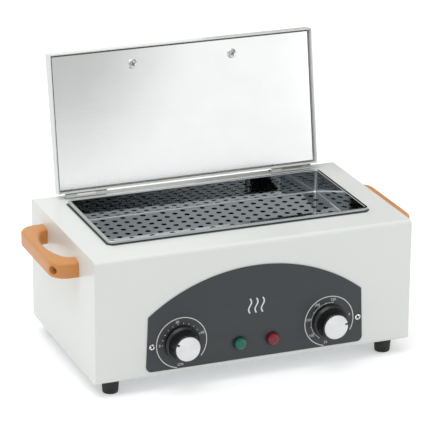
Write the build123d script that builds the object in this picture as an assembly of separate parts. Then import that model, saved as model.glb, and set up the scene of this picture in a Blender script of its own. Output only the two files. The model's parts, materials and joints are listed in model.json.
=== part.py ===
"""Bench-top dry heat sterilizer: a folded steel housing with a lift-out perforated tray, a hinged
lid standing open, a mechanical timer and a capillary thermostat behind an arched control panel.

Millimetres, +Z up, +X to the right of someone who faces the controls, -Y towards that person.
The floor is at Z = 0. Everything is drawn about the middle of the housing with the lid closed.
Then the lid is swung open on its hinge, and the whole machine is moved along Y so that the origin
lies under the middle of its outer box.
"""
import math
import os

from build123d import *

# Perforated tray, a stainless box whose hem hooks over the chamber's upstand
stainless_sheet = 0.8
tray_length = 279.8
tray_width = 126.6
tray_depth = 24.7
tray_corner_radius = 3.0
tray_corner_sides = 3
rim_rise = 4.0
hem_gap = 0.5
hem_drop = 2.6
hem_chamfer = 0.5
hole_diameter = 6.0
hole_sides = 4
hole_columns = 24
hole_rows = 9
hole_pitch_x = 11.2
hole_pitch_y = 13.2
hole_shift_y = 1.4

# Housing, laid out round the tray's inner walls
tray_side_margin = 32.6
tray_front_margin = 43.7
tray_rear_margin = 31.7
housing_height = 131.5
sheet = 1.0
bend_radius = 4.5
bottom_flange = 26.0
side_tab = 12.0
tab_corner = 10.0
slip = 0.2

# Base plate and feet
base_sheet = 1.0
base_inset = 6.0
foot_height = 15.0
foot_top_radius = 9.25
foot_bottom_radius = 8.0
foot_inset_x = 21.0
foot_inset_y = 17.0
foot_stem = 8.0
foot_barb = 10.5
foot_barb_height = 2.0
foot_sides = 10

# Heating chamber below the tray
chamber_depth = 55.0
chamber_flange = 2.6
chamber_corner = 3.1
opening_gap = 0.4

# Heater, insulation and safety parts round the chamber
heater_end_margin = 21.9
heater_side_margin = 15.3
heater_thickness = 3.0
heater_lug = 8.0
lug_window = 32.0
insulation_gap = 0.5
insulation_thickness = 10.0
insulation_top_gap = 1.5
cutout_radius = 8.0
cutout_depth = 8.5
cutout_rise = 15.5
cutout_window = 24.0
cutout_sides = 10
cutout_blade = 5.0
terminal_size = (46.0, 22.0, 18.0)
terminal_place = (70.0, 30.0)
terminal_slot = 2.0
terminal_ways = 3

# Control panel
panel_end_margin = 53.7
panel_bottom = 6.3
panel_side_top = 63.6
panel_top_margin = 25.2
panel_thickness = 1.2
panel_bottom_round = 6.0
panel_corner_sides = 3
panel_side_cut = 1.6
control_from_end = 37.8
control_height = 34.0
panel_screw_from_end = 5.8
lamp_x = 18.0
lamp_height = 24.4

# Knobs, their caps and their shafts
shaft_radius = 3.0
shaft_fit = 0.05
shaft_depth = 22.0
shaft_bush_radius = 5.0
knob_gap = 0.8
knob_reach = 20.0
skirt_radius = 18.3
skirt_height = 3.0
skirt_shoulder = 16.2
skirt_shoulder_height = 5.5
knob_front_radius = 14.4
knob_edge = 0.8
knob_sides = 16
shaft_sides = 12
cap_radius = 13.0
cap_seat = 0.8
cap_proud = 0.3
cap_notch_width = 1.9
cap_notch_depth = 2.8
timer_pointer = 153.0
thermostat_pointer = 10.0
knob_web = 4.0
timer_body = (48.0, 30.0, 48.0)
thermostat_body = (38.0, 24.0, 38.0)
body_corner = 5.0

# Thermostat bulb and capillary
bulb_radius = 3.0
bulb_length = 86.0
bulb_rise = 13.5
bulb_start = 12.0
bulb_sides = 8
capillary_radius = 1.1
capillary_sides = 6
capillary_offset = 7.0
capillary_slot = 4.5
clip_width = 7.0
clip_length = 9.0
clip_shares = (0.2, 0.8)
clip_fit = 0.1

# Indicator lamps
lamp_flange_radius = 7.25
lamp_flange = 1.4
lamp_lens_radius = 6.2
lamp_lens_reach = 5.6
lamp_bevel = 1.6
lamp_crown_step = 2.4
lamp_sides = 10
lamp_barrel_radius = 5.5
lamp_barrel_length = 22.0
lamp_fit = 0.1

# Bow handles
handle_height = 17.0
handle_standoff = 27.3
handle_grip = 9.4
handle_leg = 19.0
handle_corner = 18.0
handle_corner_sides = 3
handle_chamfer = 2.4
handle_gap_end = 10.0
gap_end_sides = 3
gap_crown_sides = 6
side_handle_length = 120.5
side_handle_drop = 24.5
side_handle_shift = 0.2
lid_screw_spacing = 112.4
lid_screw_from_front = 18.5

# Screws
screw_radius = 2.0
screw_fit = 0.05
screw_head_radius = 3.9
screw_head_height = 2.6
screw_seat = 9.0
screw_end = 5.0
head_sides = 8
shank_sides = 4
counterbore_radius = 4.4
panel_screw_radius = 1.4
panel_head_radius = 3.1
panel_head_height = 1.6
panel_screw_length = 8.0
cup_radius = 5.4
cup_height = 2.3
cup_rim = 0.5
blind_depth = 16.0

# Lid
lid_side_cover = 7.8
lid_front_cover = 6.7
lid_rear_cover = 14.0
lid_front_height = 17.0
lid_rear_height = 13.0
lid_bend = 2.5
lid_rest_gap = 0.3
liner_recess = 4.7
liner_edge_gap = 2.3
liner_return = 3.5
lid_wool_gap = 0.5
open_angle = 99.2

# Hinges
hinge_from_lid_end = 30.7
hinge_length = 46.0
barrel_radius = 2.6
barrel_above_top = 2.9
end_knuckle = 12.0
knuckle_gap = 0.3
hinge_pin_radius = 1.25
hinge_fit = 0.05
leaf = 0.8
base_leaf_width = 9.6
lid_leaf_height = 9.0
hinge_sides = 8
hinge_screw_x = 15.0
hinge_screw_reach = 6.2
hinge_screw_radius = 1.2
hinge_head_radius = 2.4
hinge_head_height = 1.3
hinge_screw_end = 1.5

# Mains inlet and vents on the back
inlet_from_end = 54.5
inlet_height = 32.0
inlet_body = (27.0, 18.0, 19.6)
inlet_flange = (31.0, 2.0, 24.0)
inlet_cavity = (24.2, 16.0, 16.6)
inlet_wall_fit = 0.2
inlet_pin = (2.0, 12.0, 4.0)
inlet_pin_pitch = 7.0
inlet_pin_drop = 2.0
inlet_earth_rise = 3.6
inlet_tag = (1.0, 6.0, 5.0)
vent_width = 4.0
vent_length = 30.0
vent_pitch = 10.0
vent_count = 5
rear_vent_x = -95.0
rear_vent_height = 34.0
base_vent_count = 3
base_vent_row_x = 70.0

# Levels and planes worked out from the sizes above
housing_width = tray_length + 2 * tray_side_margin
housing_depth = tray_width + tray_front_margin + tray_rear_margin
tray_centre_y = (tray_front_margin - tray_rear_margin) / 2
housing_bottom = foot_height + base_sheet
top = housing_bottom + housing_height
front = -housing_depth / 2
rear = housing_depth / 2
side = housing_width / 2
rim_top = top + rim_rise
shell_length = housing_width - 2 * sheet
lid_width = tray_length + 2 * lid_side_cover
lid_length = tray_width + lid_front_cover + lid_rear_cover
lid_rear = rear - tray_rear_margin + lid_rear_cover
lid_front = lid_rear - lid_length
lid_lip = top + lid_rest_gap
lid_screw_y = lid_front + lid_screw_from_front
hinge_y = lid_rear + lid_rest_gap + barrel_radius
hinge_z = top + barrel_above_top
hinge_centre_x = lid_width / 2 - hinge_from_lid_end
chamber_wall_offset = stainless_sheet + hem_gap
chamber_floor = rim_top - chamber_depth
heater_length = tray_length - 2 * heater_end_margin
heater_width = tray_width - 2 * heater_side_margin
cutout_height = chamber_floor + cutout_rise
bulb_height = chamber_floor + bulb_rise
panel_half_width = side - panel_end_margin
panel_apex = housing_height - panel_top_margin
control_x = panel_half_width - control_from_end
panel_screw_x = panel_half_width - panel_screw_from_end
side_handle_z = housing_height - side_handle_drop
side_handle_y = tray_centre_y + side_handle_shift
inlet_x = side - inlet_from_end
control_z = housing_bottom + control_height
lamp_z = housing_bottom + lamp_height
panel_front = -front + panel_thickness
knob_length = knob_reach - panel_thickness - knob_gap - cap_proud


def block(size_x, size_y, size_z, x=0.0, y=0.0, z_low=0.0):
    """Box with its middle at x and y and its underside at z_low."""
    return Pos(x, y, z_low + size_z / 2) * Box(size_x, size_y, size_z)


def arc_points(x, y, radius, start, span, sides):
    """Points along an arc about x and y, its start and span in degrees, with a few flat sides between them."""
    angles = [math.radians(start + span * index / sides) for index in range(sides + 1)]
    return [(x + radius * math.cos(angle), y + radius * math.sin(angle)) for angle in angles]


def tray_outline(offset, z_low, z_high):
    """Block with the tray's plan grown by an offset, its round corners drawn as a few flats each."""
    radius = tray_corner_radius + offset
    x = tray_length / 2 - tray_corner_radius
    y = tray_width / 2 - tray_corner_radius
    points = []
    for start, (corner_x, corner_y) in zip((0, 90, 180, 270), ((x, y), (-x, y), (-x, -y), (x, -y))):
        points += arc_points(corner_x, corner_y, radius, start, 90, tray_corner_sides)
    plan = make_face(Polyline(*points, close=True))
    return extrude(Pos(0, tray_centre_y, z_low) * plan, amount=z_high - z_low)


def ring_of_points(radius, height, sides):
    """Corners of a level regular polygon about +Z."""
    angles = [2 * math.pi * (index + 0.5) / sides for index in range(sides)]
    return [(radius * math.cos(angle), radius * math.sin(angle), height) for angle in angles]


def flat_sided(profile, sides):
    """Turned form about +Z with flat sides, from a loop of (radius to the corners, height) pairs.

    Round parts that nothing slides on are drawn this way, which keeps their surfaces few.
    """
    faces = []
    for (radius, height), (next_radius, next_height) in zip(profile, profile[1:] + profile[:1]):
        ring = ring_of_points(radius, height, sides)
        next_ring = ring_of_points(next_radius, next_height, sides)
        if height == next_height:
            outer, inner = (ring, next_ring) if radius > next_radius else (next_ring, ring)
            hole = [Wire.make_polygon(inner)] if min(radius, next_radius) > 0 else []
            faces.append(Face(Wire.make_polygon(outer), hole))
        elif max(radius, next_radius) > 0:
            for index in range(sides):
                after = (index + 1) % sides
                quad = [ring[index], ring[after], next_ring[after], next_ring[index]]
                faces.append(Face(Wire.make_polygon(quad)))
    return Solid(Shell(faces))


def bar(radius, length, sides):
    """Many-sided bar up +Z from Z = 0, its radius measured to its corners."""
    return extrude(RegularPolygon(radius, sides), amount=length)


def bore(radius, length, sides):
    """Cutter up +Z from Z = 0 whose flats lie at the radius, so that a bar of that radius turns in it."""
    return extrude(RegularPolygon(radius, sides, major_radius=False), amount=length)


def along_x(shape, x, y, z):
    """A shape's +Z turned to +X and its origin put at a point."""
    return Pos(x, y, z) * Rot(0, 90, 0) * shape


def along_y(shape, x, y, z):
    """A shape's +Z turned to +Y and its origin put at a point."""
    return Pos(x, y, z) * Rot(-90, 0, 0) * shape


def facing_user(shape, x, y, z):
    """A shape's +Z turned to -Y, towards the user, and its origin put at a point."""
    return Pos(x, y, z) * Rot(90, 0, 0) * shape


def headed_screw(shank, length, head, head_height):
    """Screw with a cylinder head that points down -Z, with the underside of its head at Z = 0."""
    return Pos(0, 0, -length) * bar(shank, length, shank_sides) + bar(head, head_height, head_sides)


# Housing: folded shell, two side panels, base plate and feet
def rounded_side_view(offset, length):
    """Bar along X with the housing's side view, shrunk by an offset, centred on X = 0."""
    view = RectangleRounded(housing_depth - 2 * offset, housing_height - 2 * offset, bend_radius - offset)
    place = Plane.YZ * Pos(0, housing_bottom + housing_height / 2)
    return extrude(place * view, amount=length / 2, both=True)


def foot_places():
    """Centres of the four feet in plan."""
    x = side - foot_inset_x
    y = rear - foot_inset_y
    return [(-x, -y), (x, -y), (-x, y), (x, y)]


def stem_holes(z_low, height):
    """Square cutters for the stems of the feet."""
    hole = foot_stem + 2 * slip
    return [block(hole, hole, height, x, y, z_low) for x, y in foot_places()]


def front_holes(y, length):
    """Cutters along Y for the control bushes, the lamps and the panel screws."""
    bush_hole = bore(shaft_bush_radius + slip, length, shaft_sides)
    lamp_hole = bore(lamp_barrel_radius + lamp_fit, length, lamp_sides)
    screw_hole = bore(panel_screw_radius + screw_fit, length, shank_sides)
    cutters = []
    for sign in (-1, 1):
        cutters.append(along_y(bush_hole, sign * control_x, y, control_z))
        cutters.append(along_y(lamp_hole, sign * lamp_x, y, lamp_z))
        cutters.append(along_y(screw_hole, sign * panel_screw_x, y, control_z))
    return cutters


def hinge_screw_places():
    """Middle X of each hinge screw, two to a hinge."""
    return [centre + sign * hinge_screw_x for centre in (-hinge_centre_x, hinge_centre_x) for sign in (-1, 1)]


def base_hinge_screw_holes():
    """Cutters down through the base leaves and the housing's top."""
    cutter = bore(hinge_screw_radius + screw_fit, 6 * sheet, shank_sides)
    return [Pos(x, hinge_y + hinge_screw_reach, top - 3 * sheet) * cutter for x in hinge_screw_places()]


def lid_hinge_screw_holes():
    """Cutters along Y through the lid leaves and the lid's rear wall."""
    cutter = bore(hinge_screw_radius + screw_fit, 4 * sheet, shank_sides)
    z = hinge_z + hinge_screw_reach
    return [along_y(cutter, x, lid_rear - 2 * sheet, z) for x in hinge_screw_places()]


def make_housing_shell():
    """Front, top and back folded from one sheet, with two flanges turned in underneath."""
    shell = rounded_side_view(0, shell_length) - rounded_side_view(sheet, shell_length + 2)
    gap_between_flanges = housing_depth - 2 * bottom_flange
    shell -= block(shell_length + 2, gap_between_flanges, 4 * sheet, z_low=housing_bottom - 2 * sheet)
    chamber_edge = 2 * (chamber_wall_offset + stainless_sheet + opening_gap)
    shell -= block(tray_length + chamber_edge, tray_width + chamber_edge, 4 * sheet,
                   0, tray_centre_y, top - 3 * sheet)
    cutters = front_holes(front - sheet, 3 * sheet) + base_hinge_screw_holes()
    cutters += stem_holes(housing_bottom - sheet, 3 * sheet)
    inlet_hole = (inlet_body[0] + 2 * inlet_wall_fit, 4 * sheet, inlet_body[2] + 2 * inlet_wall_fit)
    cutters.append(block(*inlet_hole, inlet_x, rear, housing_bottom + inlet_height - inlet_hole[2] / 2))
    for index in range(vent_count):
        x = rear_vent_x + (index - (vent_count - 1) / 2) * vent_pitch
        z_low = housing_bottom + rear_vent_height - vent_length / 2
        cutters.append(block(vent_width, 4 * sheet, vent_length, x, rear, z_low))
    for cutter in cutters:
        shell -= cutter
    return shell


def make_side_panel(sign):
    """Flat end panel with four tabs folded in, which slip inside the shell."""
    panel = Pos(side - sheet / 2, 0, 0) * rounded_side_view(0, sheet)
    tab_x = side - sheet - side_tab / 2
    tab_offset = sheet + slip + sheet / 2
    tab_y_length = housing_depth - 2 * tab_corner
    tab_z_length = housing_height - 2 * tab_corner
    for tab_y in (front + tab_offset, rear - tab_offset):
        panel += block(side_tab, sheet, tab_z_length, tab_x, tab_y, housing_bottom + tab_corner)
    for tab_z in (housing_bottom + tab_offset, top - tab_offset):
        panel += block(side_tab, tab_y_length, sheet, tab_x, 0, tab_z - sheet / 2)
    for y in handle_screw_places(side_handle_y, side_handle_length - handle_leg):
        cutter = bore(screw_radius + screw_fit, 3 * sheet, shank_sides)
        panel -= along_x(cutter, side - 2 * sheet, y, housing_bottom + side_handle_z)
    return panel if sign > 0 else mirror(panel, Plane.YZ)


def make_base_plate():
    """Vented plate held up against the shell's flanges by the feet."""
    length = housing_width - 2 * base_inset
    plate = block(length, housing_depth - 2 * base_inset, base_sheet, z_low=foot_height)
    for row_x in (-base_vent_row_x, base_vent_row_x):
        for index in range(base_vent_count):
            y = (index - (base_vent_count - 1) / 2) * vent_pitch
            plate -= block(vent_length, vent_width, 3 * base_sheet, row_x, y, foot_height - base_sheet)
    for hole in stem_holes(foot_height - base_sheet, 3 * base_sheet):
        plate -= hole
    return plate


def make_feet():
    """Tapered rubber feet, each with a square stem and a barb that hold the base plate on."""
    side_view = [(0, 0), (foot_bottom_radius, 0), (foot_top_radius, foot_height), (0, foot_height)]
    taper = flat_sided(side_view, foot_sides)
    barb_bottom = housing_bottom + sheet + slip
    stem = block(foot_stem, foot_stem, barb_bottom - foot_height, z_low=foot_height)
    foot = taper + stem + block(foot_barb, foot_barb, foot_barb_height, z_low=barb_bottom)
    return [Pos(x, y, 0) * foot for x, y in foot_places()]


# Chamber, tray and what surrounds them
def chamber_outline(offset, z_low, z_high):
    """Block with the tray's plan grown by an offset and flat corners that stay parallel to each other."""
    corner = chamber_corner + (offset - chamber_wall_offset) * (2 - math.sqrt(2))
    plan = Rectangle(tray_length + 2 * offset, tray_width + 2 * offset)
    plan = chamfer(plan.vertices(), corner)
    return extrude(Pos(0, tray_centre_y, z_low) * plan, amount=z_high - z_low)


def make_heating_chamber():
    """Welded stainless box that hangs by its flange on the housing's top, with an upstand above it."""
    wall = chamber_wall_offset + stainless_sheet
    chamber = chamber_outline(wall, chamber_floor - stainless_sheet, rim_top - stainless_sheet)
    chamber += chamber_outline(wall + chamber_flange, top, top + stainless_sheet)
    chamber -= chamber_outline(chamber_wall_offset, chamber_floor, rim_top)
    return chamber - capillary_cutter()


def make_perforated_tray():
    """Lift-out tray: plain walls, perforated floor, and a hem folded over the chamber's upstand."""
    floor = rim_top - tray_depth
    skirt_inside = chamber_wall_offset + stainless_sheet + hem_gap
    skirt_outside = skirt_inside + stainless_sheet
    hem = tray_outline(skirt_outside, rim_top - hem_drop, rim_top)
    hem = chamfer(hem.faces().sort_by(Axis.Z)[-1].edges(), hem_chamfer)
    hem -= tray_outline(skirt_inside, rim_top - hem_drop - 1, rim_top - stainless_sheet)
    tray = hem + tray_outline(stainless_sheet, floor - stainless_sheet, rim_top)
    tray -= tray_outline(0, floor, rim_top + 1)
    hole = RegularPolygon(hole_diameter / 2, hole_sides)
    holes = Sketch() + [Pos(x, y, floor - 2 * stainless_sheet) * hole for x, y in hole_places()]
    return tray - extrude(holes, amount=4 * stainless_sheet)


def hole_places():
    """Staggered holes in straight columns along Y, every second column moved by half a pitch."""
    places = []
    for column in range(hole_columns):
        x = (column - (hole_columns - 1) / 2) * hole_pitch_x
        stagger = hole_pitch_y / 4 if column % 2 == 0 else -hole_pitch_y / 4
        for row in range(hole_rows):
            y = tray_centre_y + hole_shift_y + stagger + (row - (hole_rows - 1) / 2) * hole_pitch_y
            places.append((x, y))
    return places


def make_heater_plate():
    """Flat mica heater pressed against the chamber's floor, with two terminal lugs underneath."""
    low = chamber_floor - stainless_sheet - heater_thickness
    plate = block(heater_length, heater_width, heater_thickness, 0, tray_centre_y, low)
    lug_x = heater_length / 2 - heater_lug
    for y in (-heater_lug, heater_lug):
        plate += block(heater_lug, heater_lug / 2, heater_lug, lug_x, tray_centre_y + y, low - heater_lug)
    return plate


def make_chamber_insulation():
    """Glass-fibre jacket round the chamber's walls and heater, open for the lugs and the cut-out."""
    inside = 2 * (chamber_wall_offset + stainless_sheet + insulation_gap)
    outside = inside + 2 * insulation_thickness
    floor = chamber_floor - stainless_sheet - heater_thickness - insulation_gap
    jacket_top = top - sheet - insulation_top_gap
    jacket = block(tray_length + outside, tray_width + outside, jacket_top - floor + insulation_thickness,
                   0, tray_centre_y, floor - insulation_thickness)
    jacket -= block(tray_length + inside, tray_width + inside, jacket_top, 0, tray_centre_y, floor)
    lug_x = heater_length / 2 - heater_lug
    jacket -= block(lug_window, lug_window, 3 * insulation_thickness,
                    lug_x, tray_centre_y, floor - 2 * insulation_thickness)
    window_x = tray_length / 2 + insulation_thickness
    jacket -= block(4 * insulation_thickness, cutout_window, cutout_window,
                    window_x, tray_centre_y, cutout_height - cutout_window / 2)
    return jacket - capillary_cutter()


def make_thermal_cutout():
    """Round safety cut-out that sits flat on the chamber's right wall, with two blades."""
    wall_x = tray_length / 2 + chamber_wall_offset + stainless_sheet
    body = along_x(bar(cutout_radius, cutout_depth, cutout_sides), wall_x, tray_centre_y, cutout_height)
    for y in (-cutout_radius / 2, cutout_radius / 2):
        body += block(cutout_blade, stainless_sheet, cutout_blade, wall_x + cutout_depth + cutout_blade / 2,
                      tray_centre_y + y, cutout_height - cutout_blade / 2)
    return body


def make_terminal_block():
    """Three-way terminal block on the base plate."""
    length, width, height = terminal_size
    body = block(length, width, height, *terminal_place, housing_bottom)
    slot_low = housing_bottom + height / 2
    for way in (-1, 1):
        slot_x = terminal_place[0] + way * length / terminal_ways / 2
        body -= block(terminal_slot, width + 2, height / 2, slot_x, terminal_place[1], slot_low)
    return body


# Control panel, timer, thermostat, knobs and lamps
def make_control_panel():
    """Arched plate, drawn as straight sides and one arc, with holes for shafts, lamps and screws."""
    x = panel_half_width - panel_bottom_round
    low = housing_bottom + panel_bottom + panel_bottom_round
    shoulder = housing_bottom + panel_side_top
    apex = housing_bottom + panel_apex
    corners = arc_points(-x, low, panel_bottom_round, 180, 90, panel_corner_sides)
    corners += arc_points(x, low, panel_bottom_round, 270, 90, panel_corner_sides)
    sides = Polyline((-panel_half_width, shoulder), *corners, (panel_half_width, shoulder))
    arch = ThreePointArc((panel_half_width, shoulder), (0, apex), (-panel_half_width, shoulder))
    outline = make_face(Curve() + [sides, arch])
    shoulders = outline.vertices().sort_by(Axis.Y)[-2:]
    outline = chamfer(shoulders, panel_side_cut)
    panel = extrude(Plane.XZ.offset(-front) * outline, amount=panel_thickness)
    for cutter in front_holes(-panel_front - 1, panel_thickness + 2):
        panel -= cutter
    return panel


def make_panel_screws():
    """Two small screws that hold the control panel on the housing's front."""
    screw = headed_screw(panel_screw_radius, panel_screw_length, panel_head_radius, panel_head_height)
    return [facing_user(screw, x, -panel_front, control_z) for x in (-panel_screw_x, panel_screw_x)]


def make_control_body(size, x):
    """Body of a timer or thermostat: a case behind the front sheet and a bush through sheet and panel."""
    width, depth, height = size
    case = block(width, depth, height, x, front + sheet + depth / 2, control_z - height / 2)
    case = chamfer(case.edges().filter_by(Axis.Y), body_corner)
    bush = bar(shaft_bush_radius, panel_thickness + 2 * sheet, shaft_sides)
    shaft_hole = bore(shaft_radius + shaft_fit, panel_thickness + sheet + shaft_depth, shaft_sides)
    return case + along_y(bush, x, -panel_front, control_z) - along_y(shaft_hole, x, -panel_front, control_z)


def place_on_control(shape, x):
    """A knob's or cap's back at the shaft, its +Z towards the user."""
    return facing_user(shape, x, -panel_front - knob_gap, control_z)


def make_knob(x):
    """Black skirted knob with a blind bore for the shaft and a seat for the cap."""
    bore_radius = (shaft_radius + shaft_fit) / math.cos(math.pi / knob_sides)
    bore_end = knob_length - knob_web
    seat = cap_radius + slip
    profile = [
        (0, bore_end), (bore_radius, bore_end), (bore_radius, 0), (skirt_radius, 0),
        (skirt_radius, skirt_height), (skirt_shoulder, skirt_shoulder_height),
        (knob_front_radius, knob_length - knob_edge),
        (knob_front_radius - knob_edge, knob_length), (seat, knob_length), (seat, knob_length - cap_seat),
        (0, knob_length - cap_seat),
    ]
    return place_on_control(flat_sided(profile, knob_sides), x)


def make_knob_cap(x, pointer):
    """Spun aluminium disc in the knob's front, notched at its edge where the knob points."""
    disc = RegularPolygon(cap_radius, knob_sides, rotation=180 / knob_sides)
    notch = Pos(cap_radius - cap_notch_depth / 2, 0) * Rectangle(cap_notch_depth + slip, cap_notch_width)
    disc -= Rot(0, 0, pointer) * notch
    cap = extrude(Pos(0, 0, knob_length - cap_seat) * disc, amount=cap_seat + cap_proud)
    return place_on_control(cap, x)


def make_shaft(x):
    """Steel spindle from inside the body to the bottom of the knob's bore."""
    knob_end = -panel_front - knob_gap - knob_length + knob_web
    inner_end = front + sheet + shaft_depth - slip
    return along_y(bar(shaft_radius, inner_end - knob_end, shaft_sides), x, knob_end, control_z)


def make_lamp(x):
    """Lens with a flange on the panel, a bevelled crown, and a barrel through panel and housing."""
    profile = [
        (0, -lamp_barrel_length), (lamp_barrel_radius, -lamp_barrel_length), (lamp_barrel_radius, 0),
        (lamp_flange_radius, 0), (lamp_flange_radius, lamp_flange), (lamp_lens_radius, lamp_flange),
        (lamp_lens_radius, lamp_lens_reach - lamp_bevel),
        (lamp_lens_radius - lamp_crown_step, lamp_lens_reach), (0, lamp_lens_reach),
    ]
    return facing_user(flat_sided(profile, lamp_sides), x, -panel_front, lamp_z)


# Thermostat bulb, its capillary and the clips that hold the bulb inside the chamber
capillary_y = front + sheet + thermostat_body[1] - capillary_offset
bulb_y = tray_centre_y - tray_width / 2 - chamber_wall_offset + bulb_start


def capillary_cutter():
    """Square passage for the capillary through the chamber's front wall and the jacket."""
    return block(capillary_slot, bulb_y - capillary_y, capillary_slot, control_x, (capillary_y + bulb_y) / 2,
                 bulb_height - capillary_slot / 2)


def make_thermostat_bulb():
    """Copper bulb that points to the back of the chamber, with its capillary down to the thermostat."""
    start = (control_x, capillary_y, control_z + thermostat_body[2] / 2)
    corner = (control_x, capillary_y, bulb_height)
    route = Polyline(start, corner, (control_x, bulb_y, bulb_height))
    section = Pos(*start) * RegularPolygon(capillary_radius, capillary_sides)
    capillary = sweep(section, path=route, transition=Transition.RIGHT)
    return capillary + along_y(bar(bulb_radius, bulb_length, bulb_sides), control_x, bulb_y, bulb_height)


def make_bulb_clips():
    """Two posts on the chamber's floor that carry the bulb."""
    clips = []
    bulb_hole = along_y(bore(bulb_radius + clip_fit, bulb_length, bulb_sides), control_x, bulb_y, bulb_height)
    for share in clip_shares:
        y = bulb_y + share * bulb_length
        post = block(clip_length, clip_width, bulb_height - chamber_floor, control_x, y, chamber_floor)
        clips.append(post - bulb_hole)
    return clips


# Handles and their screws
def handle_screw_places(centre, pitch):
    """The two screw places of a handle along its length."""
    return [centre - pitch / 2, centre + pitch / 2]


def finger_gap(half_length, depth):
    """Half of an oval from three tangent arcs of a few flats each, standing up +Y from Y = 0."""
    end_centre = half_length - handle_gap_end
    doubled_rise = 2 * (depth - handle_gap_end)
    crown_radius = (half_length**2 + depth**2 - 2 * half_length * handle_gap_end) / doubled_rise
    lean = math.degrees(math.atan2(crown_radius - depth, end_centre))
    points = arc_points(end_centre, 0, handle_gap_end, 0, lean, gap_end_sides)
    points += arc_points(0, depth - crown_radius, crown_radius, lean, 180 - 2 * lean, gap_crown_sides)[1:-1]
    points += arc_points(-end_centre, 0, handle_gap_end, 180 - lean, lean, gap_end_sides)
    return make_face(Polyline(*points, close=True))


def bow_outline(length):
    """Outline of a bow handle: a flat foot along Y = 0 and two corners of a few flats each."""
    corner_x = length / 2 - handle_corner
    corner_y = handle_standoff - handle_corner
    right = arc_points(corner_x, corner_y, handle_corner, 0, 90, handle_corner_sides)
    left = [(-x, y) for x, y in reversed(right)]
    return make_face(Polyline((length / 2, 0), *right, *left, (-length / 2, 0), close=True))


def bow_handle(length):
    """Moulded bow handle standing up +Y from Y = 0, its length along X and its height along Z."""
    handle = extrude(bow_outline(length), amount=handle_height / 2, both=True)
    rims = handle.faces().filter_by(Axis.Z).edges().filter_by(lambda edge: edge.center().Y > slip)
    handle = chamfer(rims, handle_chamfer)
    gap = finger_gap(length / 2 - handle_leg, handle_standoff - handle_grip)
    return handle - extrude(gap, amount=handle_height, both=True)


def make_side_handle(sign):
    """Side handle with a counterbored screw hole through each leg."""
    handle = bow_handle(side_handle_length)
    hole = bore(screw_radius + screw_fit, handle_standoff, shank_sides)
    counterbore = Pos(0, 0, screw_seat) * bore(counterbore_radius, handle_standoff, head_sides)
    for x in handle_screw_places(0, side_handle_length - handle_leg):
        handle -= along_y(hole + counterbore, x, 0, 0)
    return Pos(sign * side, side_handle_y, housing_bottom + side_handle_z) * Rot(0, 0, -sign * 90) * handle


def make_side_handle_screws():
    """Screws down the legs of both side handles and through the side panels."""
    screw = headed_screw(screw_radius, screw_seat + sheet + screw_end, screw_head_radius, screw_head_height)
    screws = []
    for sign in (-1, 1):
        for y in handle_screw_places(side_handle_y, side_handle_length - handle_leg):
            place = Pos(sign * (side + screw_seat), y, housing_bottom + side_handle_z)
            screws.append(place * Rot(0, sign * 90, 0) * screw)
    return screws


# Lid, drawn closed
def lid_top_at(y):
    """Height of the lid's sloping top above its lip plane."""
    share = (lid_rear - y) / lid_length
    return lid_rear_height + share * (lid_front_height - lid_rear_height)


def lid_wedge(inset, z_low, top_inset):
    """Wedge with the lid's side view: inset on all four sides, its top lowered by top_inset."""
    low_front = (lid_front + inset, z_low)
    low_rear = (lid_rear - inset, z_low)
    high_rear = (lid_rear - inset, lid_lip + lid_top_at(lid_rear - inset) - top_inset)
    high_front = (lid_front + inset, lid_lip + lid_top_at(lid_front + inset) - top_inset)
    view = make_face(Polyline(low_front, low_rear, high_rear, high_front, close=True))
    return extrude(Plane.YZ * view, amount=lid_width / 2 - inset, both=True)


def lid_screw_places():
    """Centres of the two screws near the lid's free edge."""
    return [(x, lid_screw_y) for x in handle_screw_places(0, lid_screw_spacing)]


def lid_screw_holes(z_low):
    """Cutters up through the liner and the lid's top."""
    cutter = bore(screw_radius + screw_fit, 2 * lid_front_height, shank_sides)
    return [Pos(x, y, z_low) * cutter for x, y in lid_screw_places()]


def make_lid_shell():
    """Painted pan, deeper at its free edge, with a bend along its top edges."""
    outside = lid_wedge(0, lid_lip, 0)
    outside = fillet(outside.faces().sort_by(Axis.Z)[-1].edges(), lid_bend)
    shell = outside - lid_wedge(sheet, lid_lip - 1, sheet)
    for cutter in lid_screw_holes(lid_lip) + lid_hinge_screw_holes():
        shell -= cutter
    return shell


def make_lid_liner():
    """Mirror-polished plate in the lid, its edges folded back into the lid."""
    face = lid_lip + liner_recess
    inset = sheet + liner_edge_gap
    length = lid_length - 2 * inset
    width = lid_width - 2 * inset
    middle = (lid_front + lid_rear) / 2
    liner = block(width, length, stainless_sheet + liner_return, 0, middle, face)
    liner -= block(width - 2 * stainless_sheet, length - 2 * stainless_sheet, liner_return + 1, 0, middle,
                   face + stainless_sheet)
    for cutter in lid_screw_holes(face - 1):
        liner -= cutter
    return liner


def make_lid_insulation():
    """Glass-fibre pad between the liner and the lid's top, notched round the two screws."""
    low = lid_lip + liner_recess + stainless_sheet
    pad = lid_wedge(sheet + liner_edge_gap + stainless_sheet + lid_wool_gap, low, sheet + lid_wool_gap)
    for x, y in lid_screw_places():
        pad -= block(4 * screw_radius, 4 * screw_radius, lid_front_height, x, y, low - 1)
    return pad


def make_lid_handle():
    """Handle on the lid's top, its feet along the slope and drilled from below for the screws."""
    handle = bow_handle(lid_screw_spacing + handle_leg)
    slope = math.degrees(math.atan2(lid_front_height - lid_rear_height, lid_length))
    seat = Pos(0, lid_screw_y, lid_lip + lid_top_at(lid_screw_y))
    handle = seat * Rot(90 - slope, 0, 0) * handle
    cutter = bore(screw_radius + screw_fit, blind_depth, shank_sides)
    for x, y in lid_screw_places():
        handle -= Pos(x, y, lid_lip + lid_top_at(y) - 1) * cutter
    return handle


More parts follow.
